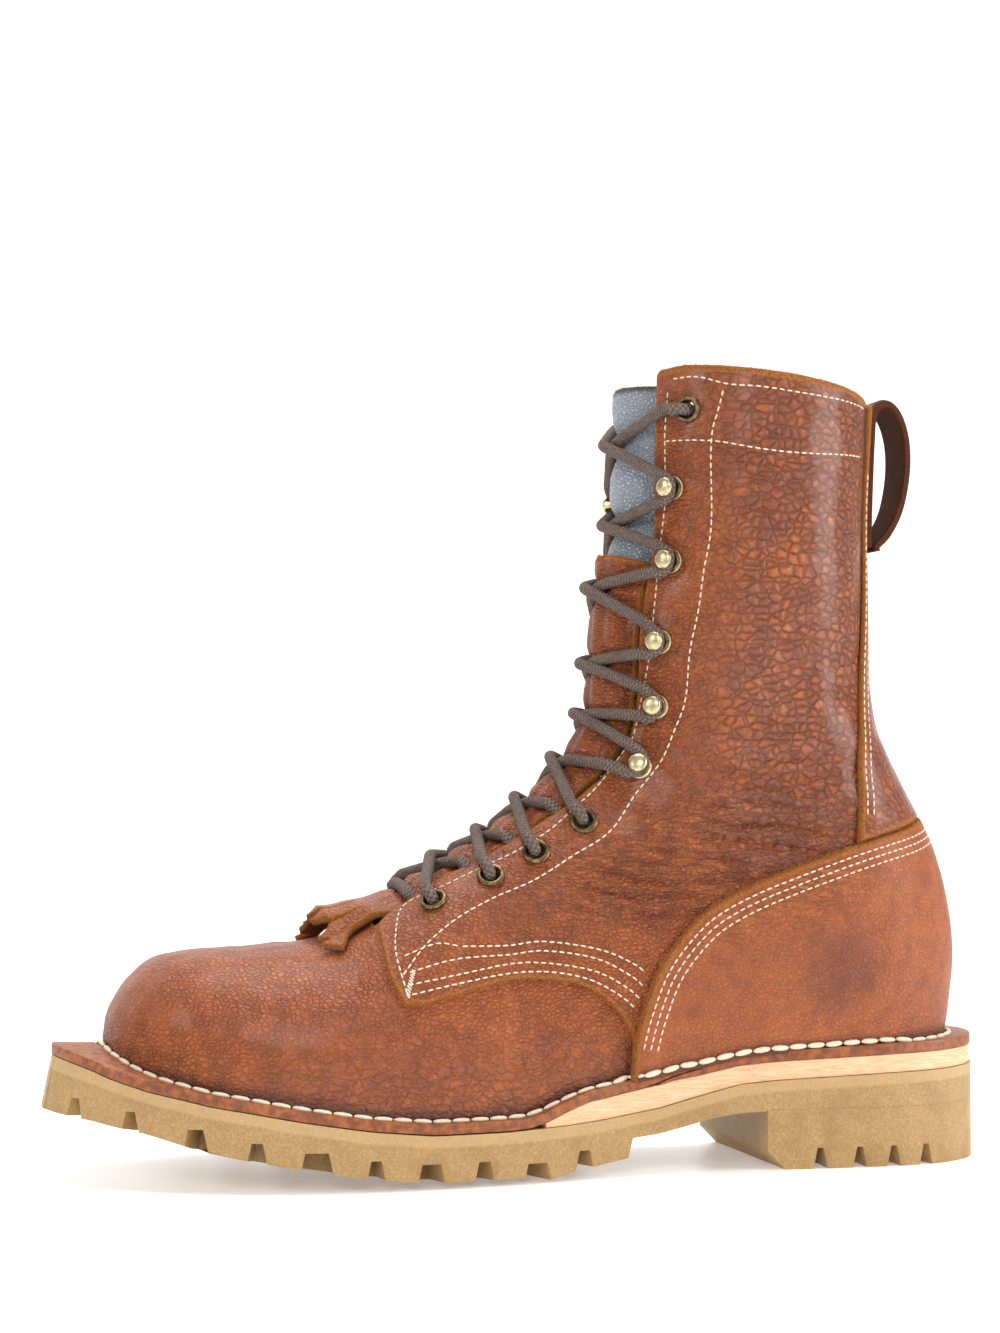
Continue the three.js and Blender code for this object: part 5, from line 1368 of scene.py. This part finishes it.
def along_facing(t, mm, distance):
    """The section number reached from t by a distance along the facing."""
    a, b = on_last(min(t + 0.2, LAST_ROW), mm)[0], on_last(t - 0.2, mm)[0]
    return t + distance * 0.4 / np.linalg.norm(a - b)

def over_throat(start, end, above):
    """Points of one strand, each end given as (t, mm, lift)."""
    line, normals = [], []
    for share in np.linspace(0, 1, 21):
        t = start[0] + (end[0] - start[0]) * share
        mm = start[1] + (end[1] - start[1]) * share
        lift = start[2] * max(1 - 5 * share, 0) + end[2] * max(5 * share - 4, 0)
        hump = math.exp(-(mm / 6.5) ** 2) * (LACE * 0.75 if above else -0.5)
        place, normal = on_last(t, mm, lace_face(t, mm) + lift + hump)
        line.append(place)
        normals.append(normal)
    line, normals = np.array(line), np.array(normals)
    taut = line.copy()
    for _ in range(60):
        taut[1:-1] = (taut[:-2] + taut[2:]) / 2
        low = ((line - taut) * normals).sum(axis=1)
        taut += normals * np.maximum(low, 0)[:, None]
    return list(taut)

# %% Route of the lace
def local(place, x, y, z):
    """A point beside an eyelet or hook: x away from the throat, y up, z outwards."""
    _, _, point, axes = place
    up = axes[1] if axes[1][2] > 0 else -axes[1]
    return point + axes[0] * x + up * y + axes[2] * z

def end_point(place, hook, leaving):
    t, mm = place[0], place[1]
    side = math.copysign(1, mm)
    if hook:
        shift = 4.25 if leaving else -5.5
        return (along_facing(t, mm, shift), mm - side * 3.6, 1.5)
    if leaving:
        return (t, mm - side * 6.4, 0.0)
    return (along_facing(t, mm, -LACE * 1.2), side * (THROAT_HALF - LACE), 0.0)

def through(place, hook, entering=True):
    """The run of lace at one eyelet or hook, from where it arrives to where it leaves."""
    if hook:
        z = LACE_RADIUS + 1.75
        return [local(place, x, y, z) for x, y in ((-2.0, -4.4), (0.2, -2.9), (1.0, 0), (0.2, 2.6),
                                                   (-2.0, 3.7))]
    run = []
    if entering:
        run = [local(place, -9.5, -3.8, -3.2), local(place, -5.0, -2.0, -5.0)]
    rising = ((-1.0, -0.3, -4.2), (-0.6, 0, -1.2), (-0.8, 0, 1.2), (-2.4, 0, 2.9), (-4.4, 0, 3.0))
    return run + [local(place, *at) for at in rising]

levels = {side: [(p, False) for p in eyelets[side][:4]] + [(p, True) for p in hooks[side]]
          + [(eyelets[side][4], False)] for side in (1, -1)}

def lace_route(side):
    """One end of the lace from the bar to the top eyelet, swapping sides each level."""
    route = []
    for k in range(len(levels[side]) - 1):
        place, hook = levels[side][k]
        route += through(place, hook, entering=k > 0)
        after, after_hook = levels[-side][k + 1]
        above = side > 0
        start = end_point(place, hook, True)
        top = k == len(levels[side]) - 2
        end = end_point(after, after_hook, top)
        route += over_throat(start, end, above)
        side = -side
    place, _ = levels[side][-1]
    route += [local(place, *at) for at in ((-4.4, -0.4, 3.0), (-2.4, 0, 2.9), (-0.8, 0, 1.2),
                                           (-0.6, 0, -1.2), (-1.0, 0, -4.2), (-3.5, 0, -4.9))]
    return np.array(route)

def smooth_route(points, spacing):
    """A Catmull-Rom line through the points, evenly spaced."""
    line = smooth_rows(points, np.linspace(0, len(points) - 1, len(points) * 10))
    for _ in range(18):
        line[1:-1] = (line[:-2] + line[1:-1] * 2 + line[2:]) / 4
    total = run_along(line)[-1]
    return at_runs(line, np.linspace(0, total, int(total / spacing) + 1))

# %% Cord
def tube(name, route, radius, finish, sides=16):
    """A closed round tube along a route, with a UV map that runs along and around."""
    points, faces, uvs = [], [], []
    along, runs = directions(route), run_along(route)
    right = np.cross(along[0], [0.3, 0.2, 1.0])
    for i, place in enumerate(route):
        right = right - along[i] * (right @ along[i])
        right /= np.linalg.norm(right)
        over = np.cross(along[i], right)
        for k in range(sides):
            angle = 2 * math.pi * k / sides
            points.append(place + (right * math.cos(angle) + over * math.sin(angle)) * radius)
    for i in range(len(route) - 1):
        for k in range(sides):
            a, b = i * sides + k, i * sides + (k + 1) % sides
            faces.append((a, b, b + sides, a + sides))
            uvs += [(runs[i], k / sides), (runs[i], (k + 1) / sides),
                    (runs[i + 1], (k + 1) / sides), (runs[i + 1], k / sides)]
    last = (len(route) - 1) * sides
    faces += [tuple(range(sides))[::-1], tuple(range(last, last + sides))]
    uvs += [(0, 0)] * (2 * sides)
    made = to_object(name, points, faces, finish)
    chart = made.data.uv_layers.new(name="along")
    for item, uv in zip(chart.data, uvs):
        item.uv = uv
    return made

# %% Braid
lace_finish = Finish("lace_cord", Roughness=0.78, Specular_IOR_Level=0.3)
chart = lace_finish.node("ShaderNodeUVMap", {"uv_map": "along"})
run_mm = lace_finish.node("ShaderNodeSeparateXYZ", None, chart)
round_share = Val(lace_finish, run_mm.socket.node.outputs[1])

def wave(value):
    return lace_finish.node("ShaderNodeMath", {"operation": "SINE"}, value)

def winding_pair(per_mm, turns):
    """Two waves that wind round the cord, one each way."""
    forward, around = run_mm * per_mm, round_share * (2 * math.pi * turns)
    return wave(forward + around), wave(forward - around)

one_way, other_way = winding_pair(4.4, 5)
first_check, second_check = winding_pair(2.6, 3)
checker = first_check * second_check
braid = one_way * (0.5 + checker * 0.5) + other_way * (0.5 - checker * 0.5)
thread_noise = lace_finish.noise(lace_finish.place(), 2.6, 3.0, 0.7)
wear = lace_finish.noise(lace_finish.place(), 0.12, 3.0)
lace_share = (braid * 0.35 + 0.5) * 0.8 + thread_noise * 0.25
lace_tone = lace_finish.mix(lace_share, rgb(30, 24, 22), rgb(150, 128, 116))
lace_finish.set("Base Color", lace_finish.mix(wear.step(0.4, 0.7) * 0.35, lace_tone, rgb(84, 70, 64)))
lace_finish.bump(braid + thread_noise * 0.5, 1.0, 0.4)

# %% Threading the boot
def press(piece, route, depth, reach):
    """Pushes a soft piece inwards where the lace lies on it."""
    tree = KDTree(len(route))
    for i, place in enumerate(route):
        tree.insert((Vector(place) + Vector(BOOT_ORIGIN)) * MM, i)
    tree.balance()
    for vertex in piece.data.vertices:
        away = max(tree.find(vertex.co)[2] / MM - reach, 0)
        if away < 10:
            lift = max(0.0, min(1.0, (130 - vertex.co.z / MM) / 60))
            inward = Vector((-1, 0, 0)).lerp(Vector((-0.35, 0, -1)), lift).normalized()
            vertex.co += inward * depth * MM * math.exp(-(away / 3.6) ** 2)

first_route, second_route = lace_route(1), lace_route(-1)
outer_low, inner_low = eyelets[1][0], eyelets[-1][0]
bar = over_throat(end_point(outer_low, False, False), end_point(inner_low, False, False), False)
bar = [local(outer_low, -0.6, -0.3, -4.2), local(outer_low, -5.0, -2.0, -4.6)] + bar
bar += [local(inner_low, -5.0, -2.0, -4.6), local(inner_low, -0.6, -0.3, -4.2)]
whole = np.vstack([second_route[::-1], np.array(bar)[::-1][1:-1], first_route])
cord_route = smooth_route(whole, 1.1)
press(kiltie, cord_route, 2.3, 0.0)
press(tongue, cord_route, 2.3, 2.0)
lace = tube("braided_lace", cord_route, LACE_RADIUS * 0.94, lace_finish.material)
stands_for(lace, "lace", "lace_bar", *[f"lace_cross_{k}" for k in range(1, 10)])
print("lace:", round(float(run_along(cord_route)[-1])), "mm of cord")

# %% [markdown]
# Every seam shows its thread: short pale stitches along the panels' edges, and long thick
# ones where the welt is sewn down. Each row is a line drawn in the side view and thrown
# onto the leather from the side, so a stitch always lies on the finished surface.

# %% Stitches
def tree_of(pieces):
    points, faces = [], []
    for piece in pieces:
        start = len(points)
        points += [v.co.copy() for v in piece.data.vertices]
        faces += [tuple(v + start for v in p.vertices) for p in piece.data.polygons]
    return BVHTree.FromPolygons(points, faces)

leather_tree = tree_of([vamp, outer_quarter, inner_quarter, heel_counter, back_strip])

def onto_side(line, side, tree, step=0.8):
    """Points and normals in mm where a side-view line lands on the leather."""
    line = np.array(line, float)
    line = curve(line, 10) if len(line) > 2 else line
    total = run_along(line)[-1]
    hits = []
    for s, z in at_runs(line, np.linspace(0, total, max(int(total / step), 2))):
        start = (Vector((s, 0, z)) + Vector(BOOT_ORIGIN)) * MM
        start.y = side * 0.2
        point, normal, _, _ = tree.ray_cast(start, Vector((0, -side, 0)))
        if point is not None:
            hits.append((np.array(point) / MM - BOOT_ORIGIN, np.array(normal)))
    return hits

def sew(rows, pitch, length, thick, sink=0.0, slant=0.0):
    """Stitch shapes along rows of (point, normal), all in one list of points and faces."""
    template = bmesh.new()
    bmesh.ops.create_uvsphere(template, u_segments=8, v_segments=6, radius=1.0)
    shape = np.array([v.co[:] for v in template.verts])
    shape_faces = [tuple(v.index for v in f.verts) for f in template.faces]
    template.free()
    body = np.sign(shape) * np.abs(shape) ** np.array([1.0, 1.0, 0.75])
    points, faces = [], []
    for row in rows:
        place = np.array([p for p, _ in row])
        facing = np.array([n for _, n in row])
        if len(place) < 3:
            continue
        run = run_along(place)
        for middle in np.arange(pitch / 2, run[-1] - pitch / 3, pitch):
            ends = [np.array([np.interp(middle + d, run, place[:, k]) for k in range(3)])
                    for d in (-length / 2, length / 2)]
            out = np.array([np.interp(middle, run, facing[:, k]) for k in range(3)])
            out /= np.linalg.norm(out)
            along = ends[1] - ends[0]
            size = np.linalg.norm(along)
            if size < length * 0.5 or size > length * 1.5:
                continue
            along /= size
            across = np.cross(out, along)
            along = along + across * (slant + chance.normal(0, 0.03))
            along /= np.linalg.norm(along)
            across = np.cross(out, along)
            out = np.cross(along, across)
            centre = (ends[0] + ends[1]) / 2 - out * sink
            start = len(points)
            for x, y, z in body:
                points.append(centre + along * z * length / 2 + across * x * thick / 2
                              + out * y * thick * 0.42)
            faces += [tuple(v + start for v in f) for f in shape_faces]
    return points, faces

thread = Finish("thread", Roughness=0.6)
twist = thread.noise(thread.place(), 3.5, 3.0, 0.7)
thread.set("Base Color", thread.mix(twist.step(0.3, 0.7), rgb(196, 180, 152), rgb(238, 228, 206)))
thread.bump(twist, 0.6, 0.2)

# %% Rows of stitches
FACING_ROWS = [
    [(214, 68), (205, 78), (194, 86), (182, 92), (167, 98), (153, 106), (140, 114), (131, 126),
     (122, 137), (117, 149), (114, 159), (113, 175), (111, 186), (109, 201), (107, 217),
     (107, 245), (105, 255), (103, 264)],
    [(213, 62), (215, 74), (213, 83), (208, 90), (194, 97), (183, 102), (172, 107), (160, 114),
     (150, 122), (142, 129), (133, 140), (129, 147), (125, 168), (123, 187), (121, 204),
     (119, 225), (119, 247), (118, 264)],
]
COLLAR_ROWS = [
    [(117, 267), (111, 267), (102, 264), (91, 263), (74, 261), (48, 259)],
    [(119, 246), (107, 245), (91, 242), (74, 241), (50, 242)],
]
QUARTER_ROWS = [
    [(212, 62), (197, 65), (178, 68), (163, 68), (149, 65), (138, 59), (133.6, 55)],
    [(213, 65), (196, 68), (178, 71), (165, 71), (148, 68), (137, 62.5), (132.2, 58.6)],
    [(212, 69), (196, 73), (178, 74), (165, 75), (147, 72), (135, 66), (130.8, 62.6)],
    [(194, 77), (178, 77), (165, 78), (146, 75), (134, 70), (129, 66)],
    [(213, 74), (202, 78), (194, 77)],
]

def moved(line, distance):
    """A side-view line moved inwards, away from its own left-hand side."""
    line = np.array(line, float)
    along = directions(line)
    return line + np.stack([along[:, 1], -along[:, 0]], axis=1) * distance

visible_counter = counter_line[(counter_line[:, 0] > 3) & (counter_line[:, 1] > seat(100.0) + 4)]
visible_strip = backstay_line[(backstay_line[:, 1] > 118) & (backstay_line[:, 1] < COLLAR - 14)]
COUNTER_ROWS = [moved(visible_counter, -d)[::4] for d in (3.4, 5.9, 8.4)]
STRIP_ROWS = [moved(visible_strip, -3.2)[::3], moved(visible_strip, -5.6)[::3]]
# %% Panel stitches
STITCH_PITCH, STITCH, THREAD = 2.75, 2.0, 0.6
rows = []
for side in (1, -1):
    for line in (*FACING_ROWS, *COLLAR_ROWS, *QUARTER_ROWS, *COUNTER_ROWS, *STRIP_ROWS):
        rows.append(onto_side(line, side, leather_tree))
points, faces = sew(rows, STITCH_PITCH, STITCH, THREAD)
CORNER_TACK = [(213, 61), (212, 65), (210, 70)]
tacks = [onto_side(CORNER_TACK, side, leather_tree) for side in (1, -1)]
more_points, more_faces = sew(tacks, 1.0, STITCH, THREAD, slant=1.2)
faces += [tuple(v + len(points) for v in f) for f in more_faces]
points += more_points
stitches = to_object("panel_stitches", points, faces, thread.material)

# %% Welt stitches
row = []
for (s, y), (ix, iy) in zip(*outline_ring(1.0, 520)):
    inwards = np.array([ix, iy])
    start = (Vector((s - ix * 15, y - iy * 15, float(seat(s)) + 2.0)) + Vector(BOOT_ORIGIN)) * MM
    point, _, _, _ = leather_tree.ray_cast(start, Vector((ix, iy, 0)))
    if point is not None:
        reach = (np.array(point) / MM - BOOT_ORIGIN)[:2] - np.array([s, y])
        reach = float(reach @ inwards)
        under = reach < 2.2
        place = np.array([s, y]) + inwards * (reach - 0.5 if under else reach - 1.4)
        out = np.array([*-inwards, 0.3]) if under else np.array([0.0, 0.0, 1.0])
        row.append((np.array([*place, float(seat(s)) + (1.1 if under else 0.35)]), out))
points, faces = sew([row + row[:1]], 6.6, 6.3, 2.0)
welt_stitches = to_object("welt_stitches", points, faces, thread.material)
for made in (stitches, welt_stitches):
    tidy(made, 80)
    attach(made, "root")
    print(made.name, len(made.data.polygons), "faces")

# %% [markdown]
# Where leather is cut, loose fibres stand out of the raw edge. Thousands of fine tapered
# hairs along every rim give the soft golden line that each panel has in the photograph.

# %% Fibres at the raw edges
HAIRS_PER_MM, HAIR_HALF_WIDTH = 9.0, 0.07
hair_points, hair_faces = [], []
for first, second, normal in raw_rims:
    along = second - first
    outward = np.cross(along, normal)
    size = np.linalg.norm(outward)
    if size < 1e-6:
        continue
    outward /= size
    for _ in range(chance.poisson(np.linalg.norm(along) * HAIRS_PER_MM)):
        root = first + along * chance.random() - normal * chance.random() * 1.2
        root = root - outward * abs(chance.normal(0, 0.5)) + normal * 0.25
        lean = outward + normal * chance.normal(0.25, 0.35) + along / size * chance.normal(0, 0.5)
        tip = root + lean / np.linalg.norm(lean) * chance.uniform(0.4, 1.5)
        wide = np.cross(tip - root, normal)
        wide *= HAIR_HALF_WIDTH / max(np.linalg.norm(wide), 1e-6)
        start = len(hair_points)
        hair_points += [root - wide, root + wide, root + normal * 0.1, tip]
        hair_faces += [(start, start + 2, start + 1), (start, start + 1, start + 3),
                       (start + 1, start + 2, start + 3), (start + 2, start, start + 3)]
fibre_finish = Finish("suede_fibre", Base_Color=rgb(196, 124, 58), Roughness=0.9)
fibres = to_object("edge_fibres", hair_points, hair_faces, fibre_finish.material)
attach(fibres, "root")
print("fibres:", len(hair_points) // 4)

# %% [markdown]
# The floor is plain and pale, and a bright plain wall stands far behind it. A broad soft
# light hangs overhead, one stands in front and a smaller one on the toe's side, so that
# the leather gets long soft highlights along the toe, the shaft and the heel.

# %% Floor and lights
def soft_light(name, place, aim, size, power):
    light = bpy.data.lights.new(name, "AREA")
    light.shape, light.size, light.energy = "DISK", size, power
    made = bpy.data.objects.new(name, light)
    made.location = place
    made.rotation_euler = (Vector(aim) - Vector(place)).to_track_quat("-Z", "Y").to_euler()
    bpy.context.scene.collection.objects.link(made)

bpy.ops.mesh.primitive_plane_add(size=14.0, location=(0, -2.0, 0))
floor = bpy.context.object
floor.name = "floor"
floor_finish = Finish("floor_white", Base_Color=(0.93, 0.93, 0.93, 1), Roughness=0.35,
                      Emission_Color=(1, 1, 1, 1), Emission_Strength=0.25)
floor.data.materials.append(floor_finish.material)
bpy.ops.mesh.primitive_plane_add(size=14.0, location=(0, -6.0, 3.0), rotation=(math.radians(90), 0, 0))
wall = bpy.context.object
wall.name = "wall"
wall_finish = Finish("wall_white", Base_Color=(1, 1, 1, 1), Emission_Color=(1, 1, 1, 1),
                     Emission_Strength=0.75, Roughness=1.0)
wall.data.materials.append(wall_finish.material)

world = bpy.data.worlds.new("studio")
world.use_nodes = True
world.node_tree.nodes["Background"].inputs["Color"].default_value = (1.0, 1.0, 1.0, 1)
world.node_tree.nodes["Background"].inputs["Strength"].default_value = 0.30
bpy.context.scene.world = world
soft_light("top_light", (-0.2, -0.3, 2.0), (0, 0, 0), 1.8, 50)
soft_light("front_light", (0.5, 1.6, 0.9), (0, 0, 0.1), 0.8, 10)
soft_light("toe_light", (1.4, 0.5, 0.7), (0, 0, 0.1), 0.5, 6)
soft_light("heel_light", (-1.4, 0.75, 0.6), (-0.05, 0, 0.15), 1.1, 20)

# %% Camera
CAMERA_PLACE = (406.2, 919.5, 133.9)
CAMERA_TURN, CAMERA_PITCH, CAMERA_LENS = 14.4, 2.17, 74.7
camera_data = bpy.data.cameras.new("photo_camera")
camera_data.lens, camera_data.sensor_width = CAMERA_LENS, 36.0
camera_data.clip_start = 0.01
camera = bpy.data.objects.new("photo_camera", camera_data)
camera.location = (Vector(CAMERA_PLACE) + Vector(BOOT_ORIGIN)) * MM
turn = math.radians(CAMERA_TURN)
pitch = math.radians(CAMERA_PITCH)
aim = Vector((-math.sin(turn) * math.cos(pitch), -math.cos(turn) * math.cos(pitch), math.sin(pitch)))
camera.rotation_euler = aim.to_track_quat("-Z", "Y").to_euler()
bpy.context.scene.collection.objects.link(camera)
bpy.context.scene.camera = camera
bpy.context.scene.view_settings.view_transform = "Standard"
